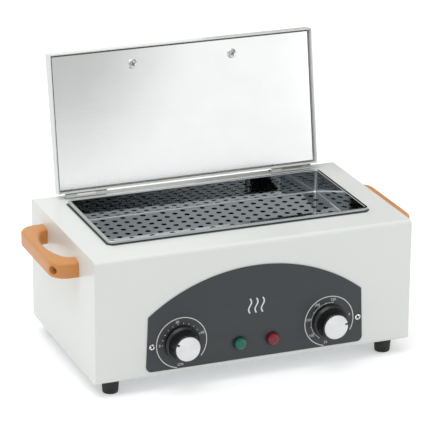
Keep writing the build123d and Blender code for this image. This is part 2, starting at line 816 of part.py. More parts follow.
def make_lid_screws():
    """Countersunk screws from the liner's face through the lid into the handle."""
    length = lid_top_at(lid_screw_y) - liner_recess + blind_depth - screw_end
    crown = cup_height + cup_rim
    head = flat_sided([
        (0, 0), (screw_radius, 0), (screw_head_radius, cup_height), (screw_head_radius - cup_rim, crown),
        (0, crown),
    ], head_sides)
    screw = head + Pos(0, 0, -length) * bar(screw_radius, length, shank_sides)
    return [Pos(x, y, lid_lip + liner_recess) * Rot(180, 0, 0) * screw for x, y in lid_screw_places()]


def make_cup_washers():
    """Finishing washers that seat the countersunk heads on the liner."""
    clear = screw_fit / math.cos(math.pi / shank_sides)
    washer = flat_sided([
        (screw_radius + 2 * clear, 0), (cup_radius, 0), (screw_head_radius + cup_rim, cup_height),
        (screw_head_radius + clear, cup_height),
    ], head_sides)
    return [Pos(x, y, lid_lip + liner_recess) * Rot(180, 0, 0) * washer for x, y in lid_screw_places()]


# Hinges
def hinge_spans(centre):
    """The outer ends of a hinge and the ends of its middle knuckle."""
    left = centre - hinge_length / 2
    right = centre + hinge_length / 2
    return left, right, left + end_knuckle + knuckle_gap, right - end_knuckle - knuckle_gap


def knuckle(x_low, x_high):
    """One rolled knuckle, not yet bored."""
    return along_x(bar(barrel_radius, x_high - x_low, hinge_sides), x_low, hinge_y, hinge_z)


def pin_bore(centre):
    """Cutter for the pin, straight through all three knuckles."""
    cutter = bore(hinge_pin_radius + hinge_fit, hinge_length + 2, hinge_sides)
    return along_x(cutter, centre - hinge_length / 2 - 1, hinge_y, hinge_z)


def make_base_hinge_leaf(centre):
    """Leaf on the housing's top behind the barrel, with the two end knuckles."""
    left, right, middle_left, middle_right = hinge_spans(centre)
    plate = block(hinge_length, base_leaf_width, leaf, centre, hinge_y + base_leaf_width / 2, top)
    relief = barrel_radius + knuckle_gap
    notch_length = middle_right - middle_left + 2 * knuckle_gap
    plate -= block(notch_length, 2 * relief, 4 * leaf, centre, hinge_y, top - leaf)
    leaf_body = plate + knuckle(left, left + end_knuckle) + knuckle(right - end_knuckle, right)
    for cutter in base_hinge_screw_holes():
        leaf_body -= cutter
    return leaf_body - pin_bore(centre)


def make_lid_hinge_leaf(centre):
    """Leaf on the lid's rear wall, with the middle knuckle."""
    left, right, middle_left, middle_right = hinge_spans(centre)
    plate = block(hinge_length, leaf, lid_leaf_height, centre, lid_rear + leaf / 2, hinge_z)
    relief = barrel_radius + knuckle_gap
    for low, high in ((left, middle_left), (middle_right, right)):
        plate -= block(high - low, 4 * leaf, 2 * relief, (low + high) / 2, lid_rear, hinge_z - relief)
    bridge = block(middle_right - middle_left, leaf + knuckle_gap, relief, centre,
                   lid_rear + (leaf + knuckle_gap) / 2, hinge_z)
    leaf_body = plate + bridge + knuckle(middle_left, middle_right)
    for cutter in lid_hinge_screw_holes():
        leaf_body -= cutter
    return leaf_body - pin_bore(centre)


def make_hinge_pins():
    """One pin through the three knuckles of each hinge."""
    pin = bar(hinge_pin_radius, hinge_length, hinge_sides)
    starts = (-hinge_centre_x - hinge_length / 2, hinge_centre_x - hinge_length / 2)
    return [along_x(pin, start, hinge_y, hinge_z) for start in starts]


def make_base_hinge_screws():
    """Low screws through the base leaves, whose heads stop the open lid."""
    length = leaf + sheet + hinge_screw_end
    screw = headed_screw(hinge_screw_radius, length, hinge_head_radius, hinge_head_height)
    return [Pos(x, hinge_y + hinge_screw_reach, top + leaf) * screw for x in hinge_screw_places()]


def make_lid_hinge_screws():
    """Low screws through the lid leaves, whose heads come to rest over those of the base leaves."""
    length = leaf + sheet + hinge_screw_end
    screw = headed_screw(hinge_screw_radius, length, hinge_head_radius, hinge_head_height)
    return [along_y(screw, x, lid_rear + leaf, hinge_z + hinge_screw_reach) for x in hinge_screw_places()]


# Mains inlet
def make_mains_inlet():
    """Panel socket on the back: flange outside, body inside, and three blades in its cavity."""
    centre_z = housing_bottom + inlet_height
    body_depth = inlet_body[1]
    inner_y = rear - body_depth
    body = block(*inlet_body, inlet_x, rear - body_depth / 2, centre_z - inlet_body[2] / 2)
    body += block(*inlet_flange, inlet_x, rear + inlet_flange[1] / 2, centre_z - inlet_flange[2] / 2)
    mouth_y = rear + inlet_flange[1]
    cavity_y = mouth_y - inlet_cavity[1] / 2
    body -= block(*inlet_cavity, inlet_x, cavity_y, centre_z - inlet_cavity[2] / 2)
    blade_y = mouth_y - inlet_cavity[1] - 1 + inlet_pin[1] / 2
    low = -inlet_pin_drop
    for x, z in ((-inlet_pin_pitch, low), (inlet_pin_pitch, low), (0, inlet_earth_rise)):
        body += block(*inlet_pin, inlet_x + x, blade_y, centre_z + z - inlet_pin[2] / 2)
    for x in (-inlet_pin_pitch, inlet_pin_pitch):
        body += block(*inlet_tag, inlet_x + x, inner_y - inlet_tag[1] / 2, centre_z - inlet_tag[2] / 2)
    return body


fixed_nodes = {
    "housing_shell": make_housing_shell(),
    "left_side_panel": make_side_panel(-1),
    "right_side_panel": make_side_panel(1),
    "base_plate": make_base_plate(),
    "feet": make_feet(),
    "heating_chamber": make_heating_chamber(),
    "perforated_tray": make_perforated_tray(),
    "heater_plate": make_heater_plate(),
    "chamber_insulation": make_chamber_insulation(),
    "thermal_cutout": make_thermal_cutout(),
    "terminal_block": make_terminal_block(),
    "control_panel": make_control_panel(),
    "panel_screws": make_panel_screws(),
    "timer_body": make_control_body(timer_body, -control_x),
    "thermostat_body": make_control_body(thermostat_body, control_x),
    "thermostat_bulb": make_thermostat_bulb(),
    "bulb_clips": make_bulb_clips(),
    "timer_shaft": make_shaft(-control_x),
    "timer_knob": make_knob(-control_x),
    "timer_knob_cap": make_knob_cap(-control_x, timer_pointer),
    "thermostat_shaft": make_shaft(control_x),
    "thermostat_knob": make_knob(control_x),
    "thermostat_knob_cap": make_knob_cap(control_x, thermostat_pointer),
    "green_lamp": make_lamp(-lamp_x),
    "red_lamp": make_lamp(lamp_x),
    "left_handle": make_side_handle(-1),
    "right_handle": make_side_handle(1),
    "side_handle_screws": make_side_handle_screws(),
    "left_base_hinge_leaf": make_base_hinge_leaf(-hinge_centre_x),
    "right_base_hinge_leaf": make_base_hinge_leaf(hinge_centre_x),
    "base_hinge_screws": make_base_hinge_screws(),
    "hinge_pins": make_hinge_pins(),
    "mains_inlet": make_mains_inlet(),
}

lid_nodes = {
    "lid_shell": make_lid_shell(),
    "lid_liner": make_lid_liner(),
    "lid_insulation": make_lid_insulation(),
    "lid_handle": make_lid_handle(),
    "lid_screws": make_lid_screws(),
    "cup_washers": make_cup_washers(),
    "left_lid_hinge_leaf": make_lid_hinge_leaf(-hinge_centre_x),
    "right_lid_hinge_leaf": make_lid_hinge_leaf(hinge_centre_x),
    "lid_hinge_screws": make_lid_hinge_screws(),
}


def solids_of(shape):
    """A node's separate solids: the one it is, or each of a group."""
    return shape if isinstance(shape, list) else [shape]


hinge_axis = Axis((0, hinge_y, hinge_z), (1, 0, 0))
nodes = {name: solids_of(shape) for name, shape in fixed_nodes.items()}
for name, shape in lid_nodes.items():
    nodes[name] = [solid.rotate(hinge_axis, -open_angle) for solid in solids_of(shape)]

boxes = [solid.bounding_box() for solids in nodes.values() for solid in solids]
front_reach = min(box.min.Y for box in boxes)
rear_reach = max(box.max.Y for box in boxes)
to_origin = -(front_reach + rear_reach) / 2

os.makedirs("parts", exist_ok=True)
for name, solids in nodes.items():
    placed = [Pos(0, to_origin, 0) * solid for solid in solids]
    export_step(placed[0] if len(placed) == 1 else Compound(children=placed), f"parts/{name}.step")
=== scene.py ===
"""Looks of a bench-top dry heat sterilizer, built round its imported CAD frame.

Metres, +Z up, +X to the right of someone who faces the controls, -Y towards that person.
The painted sheets, the lid, the hinges and what lies inside stay as the CAD draws them and get a
finish here. The tray, control panel, knobs, caps, lamps, feet, side handles and the screws that show
are drawn again with round surfaces, and the print on the control panel is added.
"""
import json
import math

import bmesh
import bpy
import numpy as np
from bpy.props import FloatProperty, FloatVectorProperty, IntProperty, PointerProperty, StringProperty
from mathutils import Matrix, Vector
from mathutils.geometry import tessellate_polygon


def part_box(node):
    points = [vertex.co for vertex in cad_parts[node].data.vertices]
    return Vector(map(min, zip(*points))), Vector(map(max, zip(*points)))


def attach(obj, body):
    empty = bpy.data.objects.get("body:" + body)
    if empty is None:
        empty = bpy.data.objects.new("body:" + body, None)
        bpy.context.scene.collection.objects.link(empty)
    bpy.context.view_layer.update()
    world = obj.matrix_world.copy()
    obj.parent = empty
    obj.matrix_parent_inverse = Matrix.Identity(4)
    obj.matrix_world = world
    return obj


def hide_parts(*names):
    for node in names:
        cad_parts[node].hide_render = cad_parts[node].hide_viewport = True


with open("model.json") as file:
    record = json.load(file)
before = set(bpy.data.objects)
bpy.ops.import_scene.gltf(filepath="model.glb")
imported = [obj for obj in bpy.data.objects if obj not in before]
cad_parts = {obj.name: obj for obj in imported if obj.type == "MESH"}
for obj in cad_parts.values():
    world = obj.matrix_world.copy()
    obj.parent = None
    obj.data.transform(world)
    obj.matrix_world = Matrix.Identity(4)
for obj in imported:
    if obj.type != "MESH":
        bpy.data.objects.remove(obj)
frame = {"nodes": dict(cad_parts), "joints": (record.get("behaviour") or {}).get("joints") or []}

bl_info = {
    "name": "Dry heat sterilizer",
    "version": (1, 0, 0),
    "blender": (4, 5, 0),
    "location": "View3D > Sidebar > Sterilizer",
    "description": "Builds the looks of a bench-top dry heat sterilizer round its CAD frame",
    "category": "Object",
}

MM = 0.001
PANEL_HEAD = 3.1 * MM
HANDLE_SEAT = 9 * MM


# Colours and shader nodes
def linear(code):
    """Linear colour of a #rrggbb code: c / 12.92 up to 0.04045, ((c + 0.055) / 1.055) ** 2.4 above."""
    parts = np.array([int(code[start:start + 2], 16) for start in (1, 3, 5)]) / 255
    curved = ((parts + 0.055) / 1.055) ** 2.4
    return tuple(np.where(parts <= 0.04045, parts / 12.92, curved).tolist())


def add_node(tree, kind, inputs=None, **settings):
    """One shader node with its settings. An input is a number, a colour or another node's output."""
    made = tree.nodes.new(kind)
    for key, value in settings.items():
        setattr(made, key, value)
    for key, value in (inputs or {}).items():
        if isinstance(value, bpy.types.NodeSocket):
            tree.links.new(value, made.inputs[key])
        else:
            made.inputs[key].default_value = value
    return made


def new_material(name, comment):
    """Empty material with its own node tree and a note that says what it is, named after a finish."""
    made = bpy.data.materials.new(f"{name}_finish")
    made.use_nodes = True
    made.node_tree.nodes.clear()
    made["comment"] = comment
    return made


def grain(tree, size, detail=3.0, stretch=(1.0, 1.0, 1.0)):
    """Noise with blobs of about `size` metres on the object, drawn out along an axis by stretch."""
    place = add_node(tree, "ShaderNodeTexCoord")
    scaled = add_node(tree, "ShaderNodeMapping", {"Vector": place.outputs["Object"], "Scale": stretch})
    noise = add_node(
        tree, "ShaderNodeTexNoise", {"Vector": scaled.outputs[0], "Scale": 1 / size, "Detail": detail})
    return noise.outputs["Fac"]


def between(tree, factor, low, high, start=0.3, end=0.7, curve="LINEAR"):
    """A number from low to high as the factor runs from start to end. Noise mostly lies from 0.3 to 0.7."""
    ranged = add_node(
        tree, "ShaderNodeMapRange",
        {"Value": factor, "From Min": start, "From Max": end, "To Min": low, "To Max": high},
        interpolation_type=curve)
    return ranged.outputs["Result"]


def mixed_colour(tree, factor, first, second):
    """Colour between two linear colours."""
    mix = add_node(tree, "ShaderNodeMix", {"Factor": factor}, data_type="RGBA")
    mix.inputs["A"].default_value = (*first, 1)
    mix.inputs["B"].default_value = (*second, 1)
    return mix.outputs["Result"]


def edge_factor(tree, radius, strength):
    """0 on flat ground to `strength` at edges sharper than the radius, from a bevelled normal."""
    soft = add_node(tree, "ShaderNodeBevel", {"Radius": radius}, samples=4)
    plain = add_node(tree, "ShaderNodeNewGeometry")
    agree = add_node(
        tree, "ShaderNodeVectorMath", {0: soft.outputs[0], 1: plain.outputs["Normal"]},
        operation="DOT_PRODUCT")
    return between(tree, agree.outputs["Value"], 0.0, strength, 0.99, 0.7)


def bumped(tree, height, depth):
    """Normal that turns a 0 to 1 height into relief of `depth` metres."""
    bump = add_node(tree, "ShaderNodeBump", {"Height": height, "Distance": depth, "Strength": 1.0})
    return bump.outputs["Normal"]


def surface(tree, inputs, **settings):
    """Principled shader joined to the material's output."""
    shader = add_node(tree, "ShaderNodeBsdfPrincipled", inputs, **settings)
    add_node(tree, "ShaderNodeOutputMaterial", {"Surface": shader.outputs[0]})
    return shader


def seen_or_mirrored(tree):
    """1 for a ray from the camera or from a mirror, 0 for one that carries light to a matt surface."""
    path = add_node(tree, "ShaderNodeLightPath")
    either = add_node(
        tree, "ShaderNodeMath", {0: path.outputs["Is Camera Ray"], 1: path.outputs["Is Glossy Ray"]},
        operation="MAXIMUM")
    return either.outputs[0]


def shaded(colour, share):
    """A linear colour made lighter or darker by a share."""
    return tuple(min(1.0, part * share) for part in colour)


# Finishes
def painted_sheet(name, colour):
    """Baked enamel on steel: a fine orange-peel skin, gloss that varies and thinner paint on edges."""
    made = new_material(name, "Baked enamel over steel sheet")
    tree = made.node_tree
    peel = grain(tree, 1.6 * MM, 2.0)
    patches = grain(tree, 45 * MM, 4.0)
    body = mixed_colour(tree, patches, shaded(colour, 0.985), shaded(colour, 1.015))
    edge_mask = edge_factor(tree, 0.6 * MM, 0.10)
    edged = add_node(
        tree, "ShaderNodeMix", {"Factor": edge_mask, "A": body, "B": (*shaded(colour, 0.8), 1)}, data_type="RGBA")
    surface(tree, {
        "Base Color": edged.outputs["Result"],
        "Roughness": between(tree, patches, 0.30, 0.40),
        "Coat Weight": 0.25,
        "Coat Roughness": 0.12,
        "Normal": bumped(tree, peel, 0.012 * MM),
    })
    return made


def dark_panel_finish(name, colour):
    """Screen-printed dark plate: a fine even texture and a satin gloss."""
    made = new_material(name, "Dark satin coat on an aluminium plate")
    tree = made.node_tree
    fine = grain(tree, 0.5 * MM, 3.0)
    patches = grain(tree, 60 * MM, 3.0)
    surface(tree, {
        "Base Color": mixed_colour(tree, patches, shaded(colour, 0.93), shaded(colour, 1.07)),
        "Roughness": between(tree, patches, 0.42, 0.5),
        "Normal": bumped(tree, fine, 0.02 * MM),
    })
    return made


def bare_metal(name, colour, rough, spread, lines, relief, stretch=(1.0, 1.0, 1.0)):
    """Metal with rolling or polishing lines: noise drawn out along one axis moves gloss and relief."""
    made = new_material(name, "Bare metal with rolling or polishing lines")
    tree = made.node_tree
    streaks = grain(tree, lines, 3.0, stretch)
    clouds = grain(tree, 30 * MM, 4.0)
    surface(tree, {
        "Base Color": mixed_colour(tree, clouds, shaded(colour, 0.95), shaded(colour, 1.03)),
        "Metallic": 1.0,
        "Roughness": between(tree, streaks, rough, rough + spread),
        "Normal": bumped(tree, streaks, relief),
    })
    return made


def spun_metal(name, colour, centre):
    """Spun disc: the highlight is drawn out across the turning lines round the disc's own centre.

    The tangent is the cross product of the disc's axis with the ray from its centre.
    """
    made = new_material(name, "Spun aluminium, turned round the axis of its knob")
    tree = made.node_tree
    place = add_node(tree, "ShaderNodeTexCoord")
    ray = add_node(
        tree, "ShaderNodeVectorMath", {0: place.outputs["Object"], 1: tuple(centre)}, operation="SUBTRACT")
    round_it = add_node(
        tree, "ShaderNodeVectorMath", {0: (0, -1, 0), 1: ray.outputs["Vector"]}, operation="CROSS_PRODUCT")
    tangent = add_node(
        tree, "ShaderNodeVectorTransform", {"Vector": round_it.outputs["Vector"]},
        vector_type="VECTOR", convert_from="OBJECT", convert_to="WORLD")
    length = add_node(tree, "ShaderNodeVectorMath", {0: ray.outputs["Vector"]}, operation="LENGTH")
    lines = add_node(
        tree, "ShaderNodeTexNoise", {"W": length.outputs["Value"], "Scale": 1 / (0.25 * MM)},
        noise_dimensions="1D")
    surface(tree, {
        "Base Color": mixed_colour(tree, lines.outputs["Fac"], shaded(colour, 0.93), shaded(colour, 1.04)),
        "Metallic": 1.0,
        "Roughness": between(tree, lines.outputs["Fac"], 0.26, 0.34),
        "Anisotropic": 0.85,
        "Tangent": tangent.outputs["Vector"],
    })
    return made


def moulding(name, colour, low, high, relief=0.01 * MM, under=0.0, tint=None):
    """Moulded plastic or rubber: faint flow marks in the colour, a fine skin and lighter edges, a painted
    highlight.
    """
    made = new_material(name, "Moulded plastic with a fine skin")
    tree = made.node_tree
    skin = grain(tree, 0.7 * MM, 3.0)
    flow = grain(tree, 14 * MM, 4.0)
    body = mixed_colour(tree, flow, shaded(colour, 0.94), shaded(colour, 1.05))
    # Colour 1.35 times lighter at sharp edges: a painted highlight along the edges.
    edge_mask = edge_factor(tree, 0.5 * MM, 0.25)
    edge_highlight = add_node(
        tree, "ShaderNodeMix", {"Factor": edge_mask, "A": body, "B": (*shaded(colour, 1.35), 1)}, data_type="RGBA")
    surface(tree, {
        "Base Color": edge_highlight.outputs["Result"],
        "Roughness": between(tree, flow, low, high),
        "Normal": bumped(tree, skin, relief),
        "Subsurface Weight": under,
        "Subsurface Radius": tint or colour,
        "Subsurface Scale": 2.0 * MM,
    })
    return made


def lens_finish(name, colour):
    """Clear coloured plastic over an unlit lamp, with shallow ripples inside."""
    made = new_material(name, "Coloured lamp lens, not lit")
    tree = made.node_tree
    ripple = grain(tree, 1.8 * MM, 2.0)
    surface(tree, {
        "Base Color": mixed_colour(tree, ripple, shaded(colour, 0.8), shaded(colour, 1.3)),
        "Roughness": between(tree, ripple, 0.2, 0.3),
        "Specular IOR Level": 0.35,
        "Coat Weight": 0.15,
        "Coat Roughness": 0.08,
        "Normal": bumped(tree, ripple, 0.06 * MM),
    })
    return made


def wool_finish(name, colour):
    """Pressed glass wool: tangled fibres in relief and uneven colour."""
    made = new_material(name, "Pressed glass wool")
    tree = made.node_tree
    fibres = grain(tree, 0.9 * MM, 8.0, (1.0, 3.0, 1.0))
    surface(tree, {
        "Base Color": mixed_colour(tree, fibres, shaded(colour, 0.7), shaded(colour, 1.1)),
        "Roughness": between(tree, fibres, 0.85, 1.0),
        "Normal": bumped(tree, fibres, 0.6 * MM),
    })
    return made


def flake_finish(name, colour):
    """Pressed mineral sheet: layered flakes that catch the light unevenly."""
    made = new_material(name, "Pressed mineral flakes round a flat heater")
    tree = made.node_tree
    place = add_node(tree, "ShaderNodeTexCoord")
    flakes = add_node(
        tree, "ShaderNodeTexVoronoi", {"Vector": place.outputs["Object"], "Scale": 1 / (3.0 * MM)})
    layers = flakes.outputs["Distance"]
    surface(tree, {
        "Base Color": mixed_colour(tree, layers, shaded(colour, 0.75), shaded(colour, 1.15)),
        "Roughness": between(tree, layers, 0.35, 0.6),
        "Normal": bumped(tree, layers, 0.08 * MM),
    })
    return made


def ink_finish(name, colour):
    """Screen-print ink: nearly even, a little thin in places."""
    made = new_material(name, "Pale screen-print ink")
    tree = made.node_tree
    thin = grain(tree, 0.8 * MM, 4.0)
    surface(tree, {
        "Base Color": mixed_colour(tree, thin, shaded(colour, 0.88), shaded(colour, 1.04)),
        "Roughness": between(tree, thin, 0.5, 0.65),
    })
    return made


# Geometry: every function gives (points, faces), with faces as lists of point numbers
def grid_faces(rows, columns, wrap_rows):
    """Quads of a grid of points whose columns close on themselves, and whose rows may."""
    row = np.arange(rows if wrap_rows else rows - 1)[:, None]
    column = np.arange(columns)[None, :]
    after_row = (row + 1) % rows
    after_column = (column + 1) % columns
    corners = [
        row * columns + column, row * columns + after_column,
        after_row * columns + after_column, after_row * columns + column,
    ]
    return np.stack([np.broadcast_to(part, (len(row), columns)) for part in corners], -1).reshape(-1, 4)


def turned(profile, sides=96):
    """A line of (r, h) turned about +Z: (r cos t, r sin t, h), with t in equal steps of a full turn."""
    profile = np.asarray(profile, float)
    t = np.arange(sides) * 2 * np.pi / sides
    ring = np.stack([np.cos(t), np.sin(t)], 1)
    flat = profile[:, None, :1] * ring[None, :, :]
    height = np.broadcast_to(profile[:, None, 1:], (len(profile), sides, 1))
    points = np.concatenate([flat, height], 2).reshape(-1, 3)
    return points, grid_faces(len(profile), sides, False).tolist()


def rounded(corners, radii, steps=6, closed=True):
    """A line with arcs of the given radii at its corners.

    At a corner with half angle a the arc of radius r starts r / tan a from it, and its centre lies
    r / sin a from it along the bisector.
    """
    corners = np.asarray(corners, float)
    made = []
    for index, corner in enumerate(corners):
        radius = radii if np.isscalar(radii) else radii[index]
        inside = closed or 0 < index < len(corners) - 1
        if radius <= 0 or not inside:
            made.append(corner[None])
            continue
        to_last = corners[index - 1] - corner
        to_next = corners[(index + 1) % len(corners)] - corner
        to_last /= np.linalg.norm(to_last)
        to_next /= np.linalg.norm(to_next)
        half = math.acos(np.clip(to_last @ to_next, -1, 1)) / 2
        centre = corner + (to_last + to_next) / np.linalg.norm(to_last + to_next) * radius / math.sin(half)
        start = corner + to_last * radius / math.tan(half) - centre
        end = corner + to_next * radius / math.tan(half) - centre
        span = math.pi - 2 * half
        share = np.linspace(0, 1, steps + 1)[:, None]
        arc = (np.sin((1 - share) * span) * start + np.sin(share * span) * end) / math.sin(span)
        made.append(centre + arc)
    return np.concatenate(made)


def circle(centre, radius, count=32, hole=False):
    """Points round a circle, clockwise if it is a hole."""
    t = np.arange(count) * 2 * np.pi / count * (-1 if hole else 1)
    return np.stack([centre[0] + radius * np.cos(t), centre[1] + radius * np.sin(t)], 1)


def moved_in(loop, amount):
    """A closed line moved left by an amount a: p + n a / (1 + n0.n1), n the sum of its sides' normals."""
    if amount == 0:
        return loop
    step = np.roll(loop, -1, 0) - loop
    step /= np.linalg.norm(step, axis=1)[:, None]
    normal = np.stack([-step[:, 1], step[:, 0]], 1)
    before = np.roll(normal, 1, 0)
    both = normal + before
    return loop + both * amount / (1 + (normal * before).sum(1))[:, None]


def filled(loops):
    """Triangles between an outline and the loops of the holes in it."""
    flat = [[Vector((x, y, 0)) for x, y in loop] for loop in loops]
    return [list(face) for face in tessellate_polygon(flat)]


def plate(loops, low, high, edge=0.0, steps=4):
    """Plate between two levels, its outline and holes given as loops with material at their left.

    Rounded edges: at the angle a the loops lie edge (1 - cos a) in and edge (1 - sin a) from the face.
    """
    if edge > 0:
        turn = np.linspace(0, np.pi / 2, steps + 1)
        inset = edge * (1 - np.sin(turn))
        rise = edge * (1 - np.cos(turn))
        inset = np.concatenate([inset, inset[::-1]])
        level = np.concatenate([low + rise, high - rise[::-1]])
    else:
        inset, level = np.zeros(2), np.array([low, high])
    starts = np.cumsum([0] + [len(loop) for loop in loops])
    total = starts[-1]
    rings = []
    for amount, z in zip(inset, level):
        flat = np.concatenate([moved_in(loop, amount) for loop in loops])
        rings.append(np.column_stack([flat, np.full(total, z)]))
    faces = []
    for start, loop in zip(starts, loops):
        here = start + np.arange(len(loop))
        after = start + (np.arange(len(loop)) + 1) % len(loop)
        for ring in range(len(rings) - 1):
            base = ring * total
            sides = np.stack([base + here, base + after, base + total + after, base + total + here], 1)
            faces += sides.tolist()
    last = (len(rings) - 1) * total
    faces += filled([moved_in(loop, inset[0]) for loop in loops])
    cover = filled([moved_in(loop, inset[-1]) for loop in loops])
    faces += [[last + number for number in face] for face in cover]
    return np.concatenate(rings), faces


def carried(section, path):
    """A closed section carried round a closed plan: plan point + a times its outward normal, at height b.

    The section's points are (a, b). The plan runs anticlockwise and its corners are arcs.
    """
    step = np.roll(path, -1, 0) - np.roll(path, 1, 0)
    step /= np.linalg.norm(step, axis=1)[:, None]
    outward = np.stack([step[:, 1], -step[:, 0]], 1)
    flat = path[:, None, :] + section[None, :, :1] * outward[:, None, :]
    height = np.broadcast_to(section[None, :, 1:], (len(path), len(section), 1))
    points = np.concatenate([flat, height], 2).reshape(-1, 3)
    return points, grid_faces(len(path), len(section), True).tolist()


def tray_plan(length, width, radius, steps=8):
    """Rectangle with round corners about the origin, anticlockwise."""
    x, y = length / 2, width / 2
    return rounded([(-x, -y), (x, -y), (x, y), (-x, y)], radius, steps)


def moved(part, matrix):
    """A part's points through a matrix."""
    points, faces = part
    turn = np.array(matrix)
    return points @ turn[:3, :3].T + turn[:3, 3], faces


def to_user(x, y, z):
    """Matrix that turns +Z to -Y, towards the user, with the origin at a point."""
    return Matrix.Translation((x, y, z)) @ Matrix.Rotation(math.radians(90), 4, "X")


def lettering(text, height, depth):
    """Flat letters about the origin, facing +Z. A capital is 0.73 of the type size tall."""
    curve = bpy.data.curves.new("lettering", "FONT")
    curve.body = text
    curve.align_x = "CENTER"
    curve.align_y = "CENTER"
    curve.size = height / 0.73
    curve.extrude = depth / 2
    holder = bpy.data.objects.new("lettering", curve)
    mesh = bpy.data.meshes.new_from_object(holder)
    points = np.empty(len(mesh.vertices) * 3)
    mesh.vertices.foreach_get("co", points)
    faces = [list(face.vertices) for face in mesh.polygons]
    bpy.data.objects.remove(holder)
    bpy.data.curves.remove(curve)
    bpy.data.meshes.remove(mesh)
    return points.reshape(-1, 3) + (0, 0, depth / 2), faces


def piece(name, parts, materials, sharp=35.0):
    """Object of one mesh from parts, each with its material's number, smooth but for edges above `sharp`."""
    points, faces, numbers, start = [], [], [], 0
    for part, number in parts:
        points.append(part[0])
        faces += [[start + corner for corner in face] for face in part[1]]
        numbers += [number] * len(part[1])
        start += len(part[0])
    mesh = bpy.data.meshes.new(name)
    mesh.from_pydata(np.concatenate(points).tolist(), [], faces)
    mesh.polygons.foreach_set("material_index", numbers)
    shape = bmesh.new()
    shape.from_mesh(mesh)
    bmesh.ops.remove_doubles(shape, verts=shape.verts, dist=0.0005 * MM)
    bmesh.ops.dissolve_degenerate(shape, edges=shape.edges, dist=0.0001 * MM)
    bmesh.ops.recalc_face_normals(shape, faces=shape.faces)
    shape.to_mesh(mesh)
    shape.free()
    mesh.shade_smooth()
    mesh.set_sharp_from_angle(angle=math.radians(sharp))
    made = bpy.data.objects.new(name, mesh)
    for material in materials:
        mesh.materials.append(material)
    bpy.context.scene.collection.objects.link(made)
    return made


def drilled(target, cutter_parts):
    """Cuts solids out of a piece for good, and takes the cutter away."""
    cutter = piece("cutter", cutter_parts, [])
    cut = target.modifiers.new("holes", "BOOLEAN")
    cut.operation = "DIFFERENCE"
    cut.solver = "EXACT"
    cut.object = cutter
    shaped = bpy.data.meshes.new_from_object(target.evaluated_get(bpy.context.evaluated_depsgraph_get()))
    target.modifiers.remove(cut)
    old, target.data = target.data, shaped
    shaped.name = target.name
    bpy.data.meshes.remove(old)
    bpy.data.objects.remove(cutter)
    shaped.shade_smooth()
    shaped.set_sharp_from_angle(angle=math.radians(35))


def middle(node):
    """Middle of a CAD node's box."""
    low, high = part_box(node)
    return (low + high) / 2


def panel_level():
    """Y of the control panel's face."""
    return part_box("control_panel")[0].y


def own_material(name):
    """A finish that the finishes operator has made."""
    made = bpy.data.materials.get(f"{name}_finish")
    if made is None:
        raise RuntimeError(f"there is no finish {name}: run the finishes first")
    return made


# Settings a user would change
def measure(name, description, millimetres):
    """Length setting, given in millimetres."""
    return FloatProperty(name=name, description=description, unit="LENGTH", default=millimetres * MM)


def tint(name, description, code):
    """Colour setting, given as #rrggbb."""
    return FloatVectorProperty(name=name, description=description, subtype="COLOR", default=linear(code))


class SterilizerColours(bpy.types.PropertyGroup):
    enamel: tint("Enamel", "Colour of the painted sheets", "#E9EBE7")
    panel: tint("Panel", "Colour of the control panel", "#303437")
    ink: tint("Ink", "Colour of the print on the panel", "#E6E7E4")
    handle: tint("Handles", "Colour of the moulded handles", "#D38F4D")
    green: tint("Green lens", "Colour of the green lens", "#0A6552")
    red: tint("Red lens", "Colour of the red lens", "#7C1420")


class SterilizerTray(bpy.types.PropertyGroup):
    length: measure("Length", "Inside length of the tray", 279.8)
    width: measure("Width", "Inside width of the tray", 126.6)
    corner: measure("Corner", "Inside radius of the corners in plan", 3.0)
    sheet: measure("Sheet", "Thickness of the stainless sheet", 0.8)
    floor_bend: measure("Floor bend", "Inside radius between floor and wall", 1.5)
    hem_out: measure("Hem", "How far the hem reaches out from the inner wall", 3.4)
    hem_drop: measure("Hem drop", "How far the hem turns down", 2.6)
    hole: measure("Hole", "Diameter of a hole in the floor", 6.0)
    pitch_x: measure("Pitch across", "Distance between columns of holes", 11.2)
    pitch_y: measure("Pitch along", "Distance between holes of a column", 13.2)
    shift_y: measure("Shift", "Distance of the pattern's middle behind the tray's", 1.4)
    columns: IntProperty(name="Columns", description="Columns of holes", default=24)
    rows: IntProperty(name="Rows", description="Holes in a column", default=9)


class SterilizerPanel(bpy.types.PropertyGroup):
    side: measure("Side", "Height of the panel's straight sides", 57.3)
    corner: measure("Corner", "Radius of the lower corners", 6.0)
    shoulder: measure("Shoulder", "How far the upper corners are cut back", 1.6)


class SterilizerKnobs(bpy.types.PropertyGroup):
    skirt: measure("Skirt", "Radius of the skirt", 18.3)
    shoulder: measure("Shoulder", "Radius above the skirt", 16.2)
    front: measure("Front", "Radius of the front", 14.4)
    length: measure("Length", "Length of a knob", 17.7)
    cap: measure("Cap", "Radius of the metal cap", 13.0)
    notch: measure("Notch", "Width of the pointer's notch", 1.9)
    timer_pointer: FloatProperty(
        name="Timer pointer", description="Where the timer points, anticlockwise from the right",
        unit="ROTATION",
        default=math.radians(153))
    thermostat_pointer: FloatProperty(
        name="Thermostat pointer", description="Where the thermostat points, anticlockwise from the right",
        unit="ROTATION", default=math.radians(10))


class SterilizerLamps(bpy.types.PropertyGroup):
    flange: measure("Flange", "Radius of the flange", 7.25)
    lens: measure("Lens", "Radius of the lens", 6.2)
    reach: measure("Reach", "How far the lens stands off the panel", 5.6)
    facets: IntProperty(name="Facets", description="Flat sides of the lens's crown", default=10)


class SterilizerHandles(bpy.types.PropertyGroup):
    height: measure("Height", "Height of a handle's bar", 17.0)
    standoff: measure("Standoff", "How far a handle stands out", 27.3)
    grip: measure("Grip", "Thickness of the grip", 9.4)
    leg: measure("Leg", "Width of a leg at its foot", 19.0)
    corner: measure("Corner", "Radius of the outer corners", 18.0)
    edge: measure("Edge", "Radius of the moulded edges", 3.0)
    gap_end: measure("Gap end", "Radius of the finger gap's ends", 10.0)


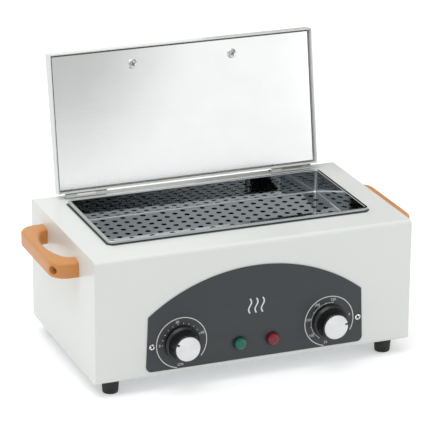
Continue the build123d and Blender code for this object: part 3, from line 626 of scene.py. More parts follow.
class SterilizerPrint(bpy.types.PropertyGroup):
    ring: measure("Ring", "Radius of the printed rings", 27.0)
    line: measure("Line", "Width of the printed rings", 0.85)
    figures: measure("Figures", "Height of the figures", 2.9)
    symbol: measure("Symbol", "Height of the heat symbol", 16.0)
    timer_figures: StringProperty(
        name="Timer figures", description="Figures round the timer, from the left clockwise",
        default="0 30 60")
    thermostat_figures: StringProperty(
        name="Thermostat figures", description="Figures round the thermostat, clockwise from below",
        default="50 100 150 200 250")


class SterilizerStage(bpy.types.PropertyGroup):
    softbox: FloatProperty(
        name="Softbox", description="Power of the overhead softbox in watts", default=18.0)
    fill: FloatProperty(name="Fill", description="Power of the front fill in watts", default=1.5)
    lens: FloatProperty(
        name="Lens", description="Focal length on a 36 mm sensor, in millimetres", default=213.4)


class SterilizerSettings(bpy.types.PropertyGroup):
    colours: PointerProperty(type=SterilizerColours)
    tray: PointerProperty(type=SterilizerTray)
    panel: PointerProperty(type=SterilizerPanel)
    knobs: PointerProperty(type=SterilizerKnobs)
    lamps: PointerProperty(type=SterilizerLamps)
    handles: PointerProperty(type=SterilizerHandles)
    print: PointerProperty(type=SterilizerPrint)
    stage: PointerProperty(type=SterilizerStage)


# Which finish each CAD node takes, by the record's slot names where it has one
SLOT_NODES = {
    "cream_enamel": ["housing_shell", "left_side_panel", "right_side_panel", "lid_shell"],
    "zinc_sheet": ["base_plate"],
    "black_rubber": ["feet"],
    "stainless": ["perforated_tray"],
    "dull_stainless": ["heating_chamber"],
    "mirror_steel": ["lid_liner"],
    "mica": ["heater_plate"],
    "glass_wool": ["chamber_insulation", "lid_insulation"],
    "panel_grey": ["control_panel"],
    "pale_moulding": ["timer_body", "thermostat_body"],
    "black_moulding": ["terminal_block", "mains_inlet", "thermal_cutout"],
    "copper": ["thermostat_bulb"],
    "plated_steel": [
        "bulb_clips", "timer_shaft", "thermostat_shaft", "panel_screws", "side_handle_screws", "lid_screws",
        "cup_washers", "hinge_pins", "base_hinge_screws", "lid_hinge_screws", "left_base_hinge_leaf",
        "right_base_hinge_leaf", "left_lid_hinge_leaf", "right_lid_hinge_leaf",
    ],
    "knob_black": ["timer_knob", "thermostat_knob"],
    "green_lens": ["green_lamp"],
    "red_lens": ["red_lamp"],
    "tan_moulding": ["left_handle", "right_handle", "lid_handle"],
}


class STERILIZER_OT_finishes(bpy.types.Operator):
    """Makes the finishes and puts them on the CAD nodes"""

    bl_idname = "sterilizer.finishes"
    bl_label = "Finishes"

    def execute(self, context):
        colours = context.scene.sterilizer.colours
        along = (0.02, 1.0, 1.0)
        made = {
            "cream_enamel": painted_sheet("cream_enamel", tuple(colours.enamel)),
            "zinc_sheet": bare_metal(
                "zinc_sheet", linear("#B4B8BA"), 0.38, 0.15, 4 * MM, 0.01 * MM),
            "black_rubber": moulding("black_rubber", linear("#1C1C1C"), 0.6, 0.75, 0.03 * MM),
            "stainless": bare_metal(
                "stainless", linear("#B2B6B8"), 0.02, 0.03, 0.5 * MM, 0.0001 * MM, along),
            "dull_stainless": bare_metal(
                "dull_stainless", linear("#6E7072"), 0.35, 0.12, 0.8 * MM, 0.002 * MM),
            "mirror_steel": bare_metal(
                "mirror_steel", linear("#F7F8F8"), 0.10, 0.04, 0.4 * MM, 0.0002 * MM, along),
            "mica": flake_finish("mica", linear("#A89A78")),
            "glass_wool": wool_finish("glass_wool", linear("#DED9CB")),
            "panel_grey": dark_panel_finish("panel_grey", tuple(colours.panel)),
            "pale_moulding": moulding("pale_moulding", linear("#D8D6CC"), 0.4, 0.5),
            "black_moulding": moulding("black_moulding", linear("#1A1A1B"), 0.35, 0.5),
            "copper": bare_metal("copper", linear("#C9805A"), 0.25, 0.15, 1.0 * MM, 0.004 * MM),
            "plated_steel": bare_metal("plated_steel", linear("#D4D4D2"), 0.16, 0.12, 0.6 * MM, 0.002 * MM),
            # Dark steel for the floor of the screws' cross recesses: painted shade in the recess.
            "recess_painted_shade": bare_metal("recess_painted_shade", linear("#2C2D2F"), 0.45, 0.15, 0.6 * MM, 0.002 * MM),
            "knob_black": moulding("knob_black", linear("#08080A"), 0.24, 0.34, 0.004 * MM),
            "green_lens": lens_finish("green_lens", tuple(colours.green)),
            "red_lens": lens_finish("red_lens", tuple(colours.red)),
            "tan_moulding": moulding(
                "tan_moulding", tuple(colours.handle), 0.30, 0.42, 0.008 * MM, 0.05, linear("#FF9050")),
            "ink": ink_finish("ink", tuple(colours.ink)),
        }
        for slot, nodes in SLOT_NODES.items():
            for node in nodes:
                mesh = frame["nodes"][node].data
                if not mesh.materials:
                    mesh.materials.append(made[slot])
                for number in range(len(mesh.materials)):
                    mesh.materials[number] = made[slot]
        return {"FINISHED"}


class STERILIZER_OT_tray(bpy.types.Operator):
    """Lift-out stainless tray with round holes and a hem over its rim"""

    bl_idname = "sterilizer.tray"
    bl_label = "Perforated tray"

    def execute(self, context):
        size = context.scene.sterilizer.tray
        low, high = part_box("perforated_tray")
        centre = (low + high) / 2
        sheet, bend, out = size.sheet, size.floor_bend, size.hem_out
        floor_top = low.z + sheet
        tight = 0.25 * MM
        section = rounded([
            (-bend, floor_top), (0, floor_top), (0, high.z), (out, high.z), (out, high.z - size.hem_drop),
            (out - sheet, high.z - size.hem_drop), (out - sheet, high.z - sheet), (sheet, high.z - sheet),
            (sheet, low.z), (-bend, low.z),
        ], [0, bend * 0.999, sheet, sheet, tight, tight, tight, tight, bend + sheet, 0], 6)
        wall = carried(section, tray_plan(size.length, size.width, size.corner))
        loops = [tray_plan(size.length - 2 * bend, size.width - 2 * bend, size.corner - bend)]
        for column in range(size.columns):
            x = (column - (size.columns - 1) / 2) * size.pitch_x
            stagger = size.pitch_y / 4 * (1 if column % 2 == 0 else -1)
            for row in range(size.rows):
                y = size.shift_y + stagger + (row - (size.rows - 1) / 2) * size.pitch_y
                loops.append(circle((x, y), size.hole / 2, 32, hole=True))
        floor = plate(loops, low.z, floor_top)
        place = Matrix.Translation((centre.x, centre.y, 0))
        tray = piece("tray_smooth", [(moved(wall, place), 0), (moved(floor, place), 0)],
                     [own_material("stainless")], 30)
        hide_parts("perforated_tray")
        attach(tray, "housing")
        return {"FINISHED"}


class STERILIZER_OT_knobs(bpy.types.Operator):
    """Two black skirted knobs with blind bores for their shafts"""

    bl_idname = "sterilizer.knobs"
    bl_label = "Knobs"

    def execute(self, context):
        size = context.scene.sterilizer.knobs
        gap, bore, cap_seat = 0.8 * MM, 3.09 * MM, 0.8 * MM
        bore_end = size.length - 4 * MM
        skirt_top, shoulder_top = 3.0 * MM, 5.5 * MM
        seat, seat_level = size.cap + 0.2 * MM, size.length - cap_seat
        profile = rounded([
            (0, bore_end), (bore, bore_end), (bore, 0), (size.skirt, 0), (size.skirt, skirt_top),
            (size.shoulder, shoulder_top), (size.front, size.length), (seat, size.length),
            (seat, seat_level), (0, seat_level),
        ], [0, 0, 0, 0.3 * MM, 0.7 * MM, 1.2 * MM, 0.9 * MM, 0.2 * MM, 0, 0], 6, closed=False)
        for name in ("timer", "thermostat"):
            at = middle(f"{name}_shaft")
            part = moved(turned(profile, 128), to_user(at.x, panel_level() - gap, at.z))
            knob = piece(f"{name}_knob_smooth", [(part, 0)], [own_material("knob_black")], 40)
            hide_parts(f"{name}_knob")
            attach(knob, f"{name}_control")
        return {"FINISHED"}


class STERILIZER_OT_caps(bpy.types.Operator):
    """Spun metal discs in the knobs' fronts, notched where the knobs point"""

    bl_idname = "sterilizer.caps"
    bl_label = "Knob caps"

    def execute(self, context):
        size = context.scene.sterilizer.knobs
        for name, pointer in (("timer", size.timer_pointer), ("thermostat", size.thermostat_pointer)):
            low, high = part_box(f"{name}_knob_cap")
            at = middle(f"{name}_shaft")
            half = math.asin(size.notch / 2 / size.cap)
            t = np.linspace(half, 2 * np.pi - half, 120) + pointer
            rim = np.stack([size.cap * np.cos(t), size.cap * np.sin(t)], 1)
            notch_depth = 2.8 * MM
            inner = (size.cap - notch_depth) * np.array([math.cos(pointer), math.sin(pointer)])
            side = size.notch / 2 * np.array([-math.sin(pointer), math.cos(pointer)])
            outline = np.concatenate([rim, [inner - side, inner + side]])
            disc = plate([outline], 0, high.y - low.y, 0.35 * MM, 3)
            material = spun_metal(f"spun_aluminium_{name}", linear("#D0D1D2"), (at.x, low.y, at.z))
            disc = moved(disc, to_user(at.x, high.y, at.z))
            cap = piece(f"{name}_cap_smooth", [(disc, 0)], [material], 30)
            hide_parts(f"{name}_knob_cap")
            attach(cap, f"{name}_control")
        return {"FINISHED"}


class STERILIZER_OT_lamps(bpy.types.Operator):
    """Green and red indicator lamps with bevelled, faceted lenses"""

    bl_idname = "sterilizer.lamps"
    bl_label = "Lamps"

    def execute(self, context):
        size = context.scene.sterilizer.lamps
        for name in ("green", "red"):
            low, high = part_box(f"{name}_lamp")
            at = (low + high) / 2
            barrel, barrel_end = 5.5 * MM, panel_level() - high.y
            rim, groove, groove_floor = 1.4 * MM, size.lens + 0.35 * MM, 0.7 * MM
            body = rounded([
                (0, barrel_end), (barrel, barrel_end), (barrel, 0), (size.flange, 0), (size.flange, rim),
                (groove, rim), (groove, groove_floor), (0, groove_floor),
            ], [0, 0.3 * MM, 0, 0.1 * MM, 0.4 * MM, 0.1 * MM, 0, 0], 4, closed=False)
            seat, bevel, step, dip, top = 0.75 * MM, 1.6 * MM, 2.4 * MM, 0.25 * MM, 1.2 * MM
            crown = [
                (0, seat), (size.lens, seat), (size.lens, size.reach - bevel),
                (size.lens - step, size.reach - dip), (top, size.reach), (0, size.reach),
            ]
            crown = rounded(crown, [0, 0, 0.35 * MM, 0.5 * MM, 0, 0], 3, closed=False)
            place = to_user(at.x, panel_level(), at.z)
            parts = [(moved(turned(body, 64), place), 0), (moved(turned(crown, size.facets), place), 1)]
            lamp = piece(f"{name}_lamp_smooth", parts,
                         [own_material("knob_black"), own_material(f"{name}_lens")], 28)
            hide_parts(f"{name}_lamp")
            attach(lamp, "housing")
        return {"FINISHED"}


class STERILIZER_OT_feet(bpy.types.Operator):
    """Four tapered rubber feet with a stem and a barb each"""

    bl_idname = "sterilizer.feet"
    bl_label = "Feet"

    def execute(self, context):
        low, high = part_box("feet")
        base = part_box("base_plate")[0].z
        tread, wide, stem, barb, tip = 8.0 * MM, 9.25 * MM, 4.0 * MM, 5.2 * MM, 4.4 * MM
        barb_level = high.z - 2 * MM
        profile = rounded([
            (0, 0), (tread, 0), (wide, base), (stem, base), (stem, barb_level), (barb, barb_level),
            (tip, high.z), (0, high.z),
        ], [0, 1.2 * MM, 0.4 * MM, 0, 0, 0.2 * MM, 0.2 * MM, 0], 5, closed=False)
        parts = []
        for x in (low.x + wide, high.x - wide):
            for y in (low.y + wide, high.y - wide):
                parts.append((moved(turned(profile, 64), Matrix.Translation((x, y, 0))), 0))
        feet = piece("feet_smooth", parts, [own_material("black_rubber")], 40)
        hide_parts("feet")
        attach(feet, "housing")
        return {"FINISHED"}


def bow(size, length):
    """Bow handle standing up +Y from Y = 0, its length along X, its height along Z, with rounded edges.

    The plan is a C: round outer corners, a half-oval finger gap of three tangent arcs between the legs.
    It is drawn past Y = 0 and cut flat there, so that its feet stay sharp.
    """
    half, below = length / 2, -2 * size.edge
    outer = rounded(
        [(half, below), (half, size.standoff), (-half, size.standoff), (-half, below)],
        [0, size.corner, size.corner, 0], 14, closed=False)
    gap_half, depth, end = half - size.leg, size.standoff - size.grip, size.gap_end
    crown = (gap_half**2 + depth**2 - 2 * gap_half * end) / (2 * (depth - end))
    lean = math.atan2(crown - depth, gap_half - end)
    t = np.linspace(0, lean, 10)[:, None]
    right = np.hstack([gap_half - end + end * np.cos(t), end * np.sin(t)])
    t = np.linspace(lean, math.pi - lean, 24)[1:-1, None]
    middle_arc = np.hstack([crown * np.cos(t), depth - crown + crown * np.sin(t)])
    left = right[::-1] * (-1, 1)
    inner = np.concatenate([[(gap_half, below)], right, middle_arc, left, [(-gap_half, below)]])[::-1]
    outline = np.concatenate([outer, inner])
    return plate([outline], -size.height / 2, size.height / 2, size.edge, 6)


def cut_flat(made, point, normal):
    """Takes away what lies on the normal's side of a plane, and closes the cut."""
    shape = bmesh.new()
    shape.from_mesh(made.data)
    everything = shape.verts[:] + shape.edges[:] + shape.faces[:]
    cut = bmesh.ops.bisect_plane(shape, geom=everything, plane_co=point, plane_no=normal, clear_outer=True)
    edges = [item for item in cut["geom_cut"] if isinstance(item, bmesh.types.BMEdge)]
    bmesh.ops.holes_fill(shape, edges=edges)
    bmesh.ops.recalc_face_normals(shape, faces=shape.faces)
    shape.to_mesh(made.data)
    shape.free()
    made.data.set_sharp_from_angle(angle=math.radians(35))


class STERILIZER_OT_handles(bpy.types.Operator):
    """Moulded bow handles with counterbored legs, one at each end"""

    bl_idname = "sterilizer.handles"
    bl_label = "Handles"

    def execute(self, context):
        size = context.scene.sterilizer.handles
        for name, sign in (("left", -1), ("right", 1)):
            low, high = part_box(f"{name}_handle")
            at = (low + high) / 2
            wall = high.x if sign < 0 else low.x
            length = high.y - low.y
            place = Matrix.Translation((wall, at.y, at.z)) @ Matrix.Rotation(-sign * math.pi / 2, 4, "Z")
            handle = piece(f"{name}_handle_smooth", [(moved(bow(size, length), place), 0)],
                           [own_material("tan_moulding")])
            cut_flat(handle, (wall, 0, 0), (-sign, 0, 0))
            holes = []
            past, clear, seat, counterbore, beyond = 2 * MM, 2.05 * MM, HANDLE_SEAT, 4.4 * MM, 40 * MM
            for y in (at.y - (length - size.leg) / 2, at.y + (length - size.leg) / 2):
                out = Matrix.Translation((wall, y, at.z)) @ Matrix.Rotation(sign * math.pi / 2, 4, "Y")
                hole = turned([
                    (0, -past), (clear, -past), (clear, seat), (counterbore, seat), (counterbore, beyond),
                    (0, beyond),
                ], 48)
                holes.append((moved(hole, out), 0))
            drilled(handle, holes)
            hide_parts(f"{name}_handle")
            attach(handle, "housing")
        return {"FINISHED"}


def cross_head(radius, height, recess, wide, long, sides=96, rings=36):
    """Domed screw head with a cross recess, as two parts: the plated head, and the ground of the cross, in
    dark steel as painted shade in the recess.

    z = height (1 - 0.45 (r / R)**2.6) - recess * w(|x|, |y|), where w is 1 inside the cross and 0 outside.
    """
    r = np.linspace(0, 1, rings)[:, None] * radius
    t = np.arange(sides)[None, :] * 2 * np.pi / sides
    x, y = np.abs(r * np.cos(t)), np.abs(r * np.sin(t))
    blur = 0.12 * radius
    narrow = np.clip((wide / 2 - np.minimum(x, y)) / blur + 0.5, 0, 1)
    reach = np.clip((long / 2 - np.maximum(x, y)) / blur + 0.5, 0, 1)
    z = height * (1 - 0.45 * (r / radius) ** 2.6) - recess * narrow * reach
    top = np.stack([r * np.cos(t), r * np.sin(t), z], -1)[::-1]
    bottom = np.stack([np.cos(t) * radius, np.sin(t) * radius, np.zeros_like(t)], -1)
    centre = np.zeros((1, sides, 3))
    points = np.concatenate([centre, bottom, top]).reshape(-1, 3)
    depth = np.concatenate([np.zeros(2 * sides), (narrow * reach)[::-1].ravel()])
    faces = grid_faces(rings + 2, sides, False)
    # Faces deep in the cross take the dark steel, painted shade in the recess.
    dark = depth[faces].mean(1) > 0.3
    return (points, faces[~dark].tolist()), (points, faces[dark].tolist())


class STERILIZER_OT_screws(bpy.types.Operator):
    """Cross-headed screws of the panel, side handles and lid, and the lid's cup washers"""

    bl_idname = "sterilizer.screws"
    bl_label = "Screws and washers"

    def execute(self, context):
        low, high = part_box("panel_screws")
        at = (low + high) / 2
        parts = []
        for x in (low.x + PANEL_HEAD, high.x - PANEL_HEAD):
            place = to_user(x, panel_level(), at.z) @ Matrix.Rotation(0.5, 4, "Z")
            head = cross_head(PANEL_HEAD, 1.6 * MM, 0.9 * MM, 1.0 * MM, 3.8 * MM)
            parts += self.screw(head, 1.4 * MM, 8 * MM, place)
        self.finished("panel_screws", parts, "housing")
        parts = []
        low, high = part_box("side_handle_screws")
        z = (low.z + high.z) / 2
        leg = context.scene.sterilizer.handles.leg
        for name, sign in (("left", -1), ("right", 1)):
            wall_low, wall_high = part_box(f"{name}_handle")
            wall = wall_high.x if sign < 0 else wall_low.x
            for y in (wall_low.y + leg / 2, wall_high.y - leg / 2):
                place = Matrix.Translation((wall + sign * HANDLE_SEAT, y, z))
                place = place @ Matrix.Rotation(sign * math.pi / 2, 4, "Y")
                head = cross_head(3.9 * MM, 2.6 * MM, 1.4 * MM, 1.1 * MM, 4.4 * MM)
                parts += self.screw(head, 2 * MM, 15 * MM, place)
        self.finished("side_handle_screws", parts, "housing")
        self.lid_screws()
        return {"FINISHED"}

    def screw(self, head, radius, length, place):
        """A head's two parts and its shank, put in place."""
        shank = turned([(0, -length), (radius, -length), (radius, 0), (0, 0)], 32)
        plated, dark = head
        return [(moved(plated, place), 0), (moved(dark, place), 1), (moved(shank, place), 0)]

    def lid_screws(self):
        """Countersunk screws in cup washers on the liner, along the open lid's own normal."""
        cup_low, cup_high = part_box("cup_washers")
        screw_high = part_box("lid_screws")[1]
        cup, spread = (cup_low + cup_high) / 2, (cup_high.x - cup_low.x) / 2
        hinge = next(joint for joint in frame["joints"] if joint["child"] == "lid")
        lean = math.radians(hinge["range_deg"][1] - hinge["range_deg"][0] - 90)
        out = Vector((0, -math.cos(lean), math.sin(lean)))
        cup_height, cup_foot, cup_lip = 2.3 * MM, 5.4 * MM, 4.4 * MM
        cup_mouth, cup_bore = 3.97 * MM, 2.12 * MM
        shank_radius, head_radius, head_level = 1.95 * MM, 3.8 * MM, 2.15 * MM
        seat = cup - out * cup_height / 2
        turn = Matrix.Rotation(math.pi / 2 - lean, 4, "X")
        length = (screw_high.y - seat.y) / math.cos(lean)
        shank = turned([(0, -length), (shank_radius, -length), (shank_radius, 0.15 * MM), (0, 0.15 * MM)], 32)
        cone = turned([
            (0, 0.1 * MM), (shank_radius, 0.1 * MM), (head_radius, head_level), (0, head_level)], 64)
        plated, dark = cross_head(head_radius, 0.65 * MM, 1.5 * MM, 1.2 * MM, 4.8 * MM)
        ring = turned(rounded([
            (cup_bore, 0), (cup_foot, 0), (cup_lip, cup_height), (cup_mouth, cup_height), (cup_bore, 0),
        ], [0, 0.5 * MM, 0.15 * MM, 0, 0], 5, closed=False), 64)
        washers, screws = [], []
        for x in (5.0 * MM - spread, spread - 5.0 * MM):
            place = Matrix.Translation((x, seat.y, seat.z)) @ turn
            washers.append((moved(ring, place), 0))
            lift = place @ Matrix.Translation((0, 0, head_level)) @ Matrix.Rotation(0.4, 4, "Z")
            screws += [(moved(plated, lift), 0), (moved(dark, lift), 1), (moved(cone, place), 0),
                       (moved(shank, place), 0)]
        self.finished("cup_washers", washers, "lid")
        self.finished("lid_screws", screws, "lid")

    def finished(self, node, parts, body):
        """Piece that stands for a CAD node."""
        # The second material is the dark steel that paints shade in the cross recesses.
        steels = [own_material("plated_steel"), own_material("recess_painted_shade")]
        made = piece(f"{node}_smooth", parts, steels, 40)
        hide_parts(node)
        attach(made, body)


class STERILIZER_OT_panel(bpy.types.Operator):
    """Arched control panel with round corners and round holes"""

    bl_idname = "sterilizer.panel"
    bl_label = "Control panel"

    def execute(self, context):
        size = context.scene.sterilizer.panel
        low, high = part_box("control_panel")
        half, bottom, apex = high.x, low.z, high.z
        shoulder = bottom + size.side
        rise = apex - shoulder
        radius = (half**2 + rise**2) / (2 * rise)
        lean = math.asin(half / radius)
        t = np.linspace(lean, -lean, 90)[1:-1]
        arch = np.stack([radius * np.sin(t), apex - radius + radius * np.cos(t)], 1)
        corners = [(-half, shoulder), (-half, bottom), (half, bottom), (half, shoulder)]
        outline = np.concatenate([
            rounded(corners, [0, size.corner, size.corner, 0], 12, closed=False), arch])
        outline = self.eased(outline, half, shoulder, size.shoulder)
        loops = [outline]
        timer, green, screws = middle("timer_shaft"), middle("green_lamp"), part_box("panel_screws")
        screw_x = screws[1].x - PANEL_HEAD
        for sign in (-1, 1):
            loops.append(circle((sign * timer.x, timer.z), 5.2 * MM, 48, hole=True))
            loops.append(circle((sign * green.x, green.z), 5.6 * MM, 48, hole=True))
            loops.append(circle((sign * screw_x, timer.z), 1.45 * MM, 24, hole=True))
        sheet = plate(loops, 0, high.y - low.y, 0.25 * MM, 3)
        made = piece("control_panel_smooth", [(moved(sheet, to_user(0, high.y, 0)), 0)],
                     [own_material("panel_grey")], 30)
        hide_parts("control_panel")
        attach(made, "housing")
        return {"FINISHED"}

    def eased(self, outline, half, shoulder, radius):
        """The outline with its two shoulders cut back: no point lies nearer a shoulder than the radius."""
        far = [np.hypot(outline[:, 0] - x, outline[:, 1] - shoulder) > radius for x in (-half, half)]
        return outline[far[0] & far[1]]


class STERILIZER_OT_print(bpy.types.Operator):
    """Print on the control panel: two dials with plain figures and a heat symbol"""

    bl_idname = "sterilizer.print"
    bl_label = "Panel print"

    def execute(self, context):
        size = context.scene.sterilizer.print
        depth = 0.04 * MM
        timer, thermostat = middle("timer_shaft"), middle("thermostat_shaft")
        parts = [
            self.arc(timer, size.ring, size.line, -39.3, 298.5, depth),
            self.arc(thermostat, size.ring, size.line, -29, 287, depth),
        ]
        for angle in (181, 166, 149.5, 133.7, 117.6, 101, 84.4, 68.2, 51.4, 35.5, 20.2):
            parts.append(self.tick(timer, angle, 20.0 * MM, 21.3 * MM, 0.55 * MM, depth))
        parts += self.figures(
            timer, size.timer_figures, (181, 101.8, 19.6), (23.6, 23.2, 23.8), size.figures, depth)
        parts += self.figures(timer, "ON", (-93,), (23.6,), size.figures, depth)
        for angle in (-122.4, -147.6, -167.3, 168, 147.1, 122.1, 100.8, 78.6):
            parts.append(self.tick(thermostat, angle, 19.6 * MM, 21.4 * MM, 0.55 * MM, depth))
        parts.append(self.arc(thermostat, 20.0 * MM, 0.45 * MM, 78.6, 159, depth))
        parts += self.figures(
            thermostat, size.thermostat_figures, (-98.5, -144.5, 170.4, 124.7, 79.4),
            (23.4, 23.6, 23.8, 23.6, 23.4), size.figures, depth)
        parts += self.figures(thermostat, "0", (10,), (23.2,), size.figures, depth)
        centre = Vector(((timer.x + thermostat.x) / 2, 0, timer.z + 29 * MM))
        for shift in (-7, 0, 7):
            parts.append(self.wave(centre + Vector((shift * MM, 0, 0)), size.symbol, depth))
        ink = piece("panel_print", [(part, 0) for part in parts], [own_material("ink")], 30)
        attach(ink, "housing")
        return {"FINISHED"}

    def on_panel(self, part, centre):
        """A flat part put on the panel's face round a point."""
        return moved(part, to_user(centre.x, panel_level(), centre.z))

    def arc(self, centre, radius, width, start, span, depth):
        """Band between two radii from an angle on, anticlockwise, in degrees."""
        t = np.radians(np.linspace(start, start + span, 120))[:, None]
        ray = np.hstack([np.cos(t), np.sin(t)])
        outline = np.concatenate([ray * (radius + width / 2), ray[::-1] * (radius - width / 2)])
        return self.on_panel(plate([outline], 0, depth), centre)

    def tick(self, centre, angle, inner, outer, width, depth):
        """Short line that points at the knob's middle."""
        turn = math.radians(angle)
        ray = np.array([math.cos(turn), math.sin(turn)])
        side = np.array([-ray[1], ray[0]]) * width / 2
        outline = np.array([ray * inner - side, ray * outer - side, ray * outer + side, ray * inner + side])
        return self.on_panel(plate([outline], 0, depth), centre)

    def figures(self, centre, text, angles, radii, height, depth):
        """Upright figures at angles and radii in millimetres."""
        made = []
        for word, angle, radius in zip(text.split(), angles, radii):
            turn = math.radians(angle)
            place = Vector((radius * MM * math.cos(turn), 0, radius * MM * math.sin(turn))) + centre
            made.append(self.on_panel(lettering(word, height, depth), place))
        return made

    def wave(self, centre, height, depth):
        """Rising wavy line of even width: x = a sin(2 pi z / height)."""
        z = np.linspace(-0.5, 0.5, 48) * height
        x = 1.5 * MM * np.sin(2 * np.pi * z / height)
        line = np.stack([x, z], 1)
        step = np.gradient(line, axis=0)
        step /= np.linalg.norm(step, axis=1)[:, None]
        side = np.stack([step[:, 1], -step[:, 0]], 1) * 0.75 * MM
        outline = np.concatenate([line + side, (line - side)[::-1]])
        return self.on_panel(plate([outline], 0, depth), centre)


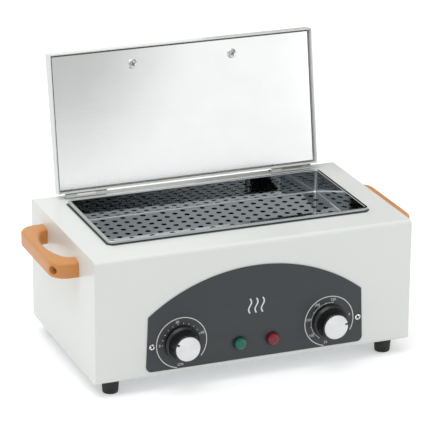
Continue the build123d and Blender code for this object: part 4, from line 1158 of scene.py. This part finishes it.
class STERILIZER_OT_stage(bpy.types.Operator):
    """Pale floor, soft lights, white surroundings and the camera"""

    bl_idname = "sterilizer.stage"
    bl_label = "Stage"

    def execute(self, context):
        size = context.scene.sterilizer.stage
        scene = context.scene
        self.floor()
        self.world(scene)
        self.softbox("softbox_top", (-0.5, -0.1, 1.9), (0, 0, 0.15), 1.8, size.softbox)
        self.softbox("softbox_front", (0.95, -0.95, 0.45), (0.1, -0.1, 0.1), 0.7, size.fill)
        self.card("card_right", (0.745, -0.52, 0.78), (0.371, -0.929, 0), 0.70, 0.86, 0.01)
        self.card("card_rear", (0.31, 0.43, 0.30), (0.348, 0.872, 0.344), 0.30, 0.18, 0.01)
        self.card("card_left", (-0.21, -0.87, 0.50), (-0.348, -0.872, 0.344), 0.40, 0.32, 0.02)
        self.card("card_soft", (0.01, -0.47, 0.34), (0.348, -0.936, -0.051), 0.50, 0.50, 0.55, 0.22)
        self.camera(scene, size.lens)
        scene.view_settings.view_transform = "Standard"
        return {"FINISHED"}

    def floor(self):
        """Wide disc of pale card."""
        t = np.arange(96) * 2 * np.pi / 96
        ring = np.stack([np.cos(t), np.sin(t)], 1) * 6.0
        made = new_material("floor_card", "Pale matt card")
        tree = made.node_tree
        fibre = grain(tree, 3 * MM, 3.0)
        glow = add_node(tree, "ShaderNodeMath", {0: seen_or_mirrored(tree), 1: 0.32}, operation="MULTIPLY")
        surface(tree, {
            "Base Color": mixed_colour(tree, fibre, linear("#FBFBFB"), linear("#FFFFFF")),
            "Roughness": 0.9,
            "Specular IOR Level": 0.0,
            "Emission Color": (1, 1, 1, 1),
            "Emission Strength": glow.outputs[0],
        })
        floor = piece("floor", [(plate([ring], -4 * MM, -0.05 * MM), 0)], [made])

    def world(self, scene):
        """White to the camera and to mirrors, a plain soft grey to what it lights."""
        world = bpy.data.worlds.new("surroundings")
        world.use_nodes = True
        tree = world.node_tree
        tree.nodes.clear()
        path = seen_or_mirrored(tree)
        seen = add_node(tree, "ShaderNodeBackground", {"Color": (1, 1, 1, 1), "Strength": 1.0})
        lit = add_node(tree, "ShaderNodeBackground", {"Color": (*linear("#F7F9FA"), 1), "Strength": 0.62})
        both = add_node(
            tree, "ShaderNodeMixShader", {0: path, 1: lit.outputs[0], 2: seen.outputs[0]})
        add_node(tree, "ShaderNodeOutputWorld", {"Surface": both.outputs[0]})
        scene.world = world

    def card(self, name, place, towards, width, height, shade, fade=None):
        """Card that only mirrors see, square to a direction, as the dark side of a studio.

        With a fade it is a soft round patch: its cover falls from 1 in the middle to 0 at that radius.
        """
        back = Vector(towards).normalized()
        across = back.cross(Vector((0, 0, 1))).normalized()
        up = across.cross(back)
        turn = Matrix((across, up, -back)).transposed().to_4x4()
        turn.translation = Vector(place)
        x, y = width / 2, height / 2
        sheet = plate([np.array([(-x, -y), (x, -y), (x, y), (-x, y)])], 0, 1 * MM)
        made = new_material(name, "Card outside the picture")
        tree = made.node_tree
        cover = 1.0
        if fade is not None:
            spot = add_node(tree, "ShaderNodeTexCoord")
            gap = add_node(
                tree, "ShaderNodeVectorMath", {0: spot.outputs["Object"], 1: place}, operation="DISTANCE")
            cover = between(tree, gap.outputs["Value"], 1.0, 0.0, 0.0, fade, "SMOOTHSTEP")
        surface(tree, {
            "Base Color": (0, 0, 0, 1), "Roughness": 1.0, "Specular IOR Level": 0.0, "Alpha": cover,
            "Emission Color": (shade, shade, shade, 1), "Emission Strength": 1.0,
        })
        card = piece(name, [(moved(sheet, turn), 0)], [made])
        for ray in ("camera", "diffuse", "shadow", "transmission", "volume_scatter"):
            setattr(card, f"visible_{ray}", False)

    def softbox(self, name, place, target, width, power):
        """Square area light aimed at a point."""
        light = bpy.data.lights.new(name, "AREA")
        light.shape = "SQUARE"
        light.size = width
        light.energy = power
        made = bpy.data.objects.new(name, light)
        place, target = Vector(place), Vector(target)
        made.location = place
        made.rotation_mode = "QUATERNION"
        made.rotation_quaternion = (target - place).to_track_quat("-Z", "Y")
        bpy.context.scene.collection.objects.link(made)

    def camera(self, scene, lens):
        """Camera at the photograph's angle: 21.75 degrees left of square, 20.1 above level, 0.41 of roll."""
        azimuth, rise, roll = (math.radians(angle) for angle in (-21.75, 20.10, 0.41))
        level = math.cos(rise)
        back = Vector((math.sin(azimuth) * level, -math.cos(azimuth) * level, math.sin(rise)))
        right = (-back).cross(Vector((0, 0, 1))).normalized()
        up = right.cross(-back)
        x_axis = right * math.cos(roll) + up * math.sin(roll)
        y_axis = up * math.cos(roll) - right * math.sin(roll)
        turn = Matrix((x_axis, y_axis, back)).transposed().to_4x4()
        data = bpy.data.cameras.new("camera")
        data.lens = lens
        data.sensor_width = 36
        data.clip_start = 0.1
        data.clip_end = 50
        made = bpy.data.objects.new("camera", data)
        made.matrix_world = Matrix.Translation((-0.92613, -2.32241, 1.05136)) @ turn
        scene.collection.objects.link(made)
        scene.camera = made


STEPS = (
    "finishes", "tray", "panel", "knobs", "caps", "lamps", "feet", "handles", "screws", "print", "stage")


class STERILIZER_PT_panel(bpy.types.Panel):
    """Lists the build steps in the sidebar"""

    bl_idname = "STERILIZER_PT_panel"
    bl_label = "Dry heat sterilizer"
    bl_space_type = "VIEW_3D"
    bl_region_type = "UI"
    bl_category = "Sterilizer"

    def draw(self, context):
        settings = context.scene.sterilizer
        for group in ("colours", "tray", "panel", "knobs", "lamps", "handles", "print", "stage"):
            box = self.layout.box()
            box.label(text=group.capitalize())
            values = getattr(settings, group)
            for name in values.__annotations__:
                box.prop(values, name)
        for step in STEPS:
            self.layout.operator(f"sterilizer.{step}")


CLASSES = (
    SterilizerColours, SterilizerTray, SterilizerPanel, SterilizerKnobs, SterilizerLamps, SterilizerHandles,
    SterilizerPrint, SterilizerStage, SterilizerSettings, STERILIZER_OT_finishes, STERILIZER_OT_tray,
    STERILIZER_OT_panel, STERILIZER_OT_knobs, STERILIZER_OT_caps, STERILIZER_OT_lamps, STERILIZER_OT_feet,
    STERILIZER_OT_handles, STERILIZER_OT_screws, STERILIZER_OT_print, STERILIZER_OT_stage,
    STERILIZER_PT_panel,
)


def register():
    for item in CLASSES:
        bpy.utils.register_class(item)
    bpy.types.Scene.sterilizer = PointerProperty(type=SterilizerSettings)


def unregister():
    del bpy.types.Scene.sterilizer
    for item in reversed(CLASSES):
        bpy.utils.unregister_class(item)


def main():
    """Registers the add-on and builds every piece in order."""
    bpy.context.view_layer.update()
    register()
    for step in STEPS:
        result = getattr(bpy.ops.sterilizer, step)()
        if result != {"FINISHED"}:
            raise RuntimeError(f"the step {step} didn't finish")


if __name__ == "__main__":
    main()
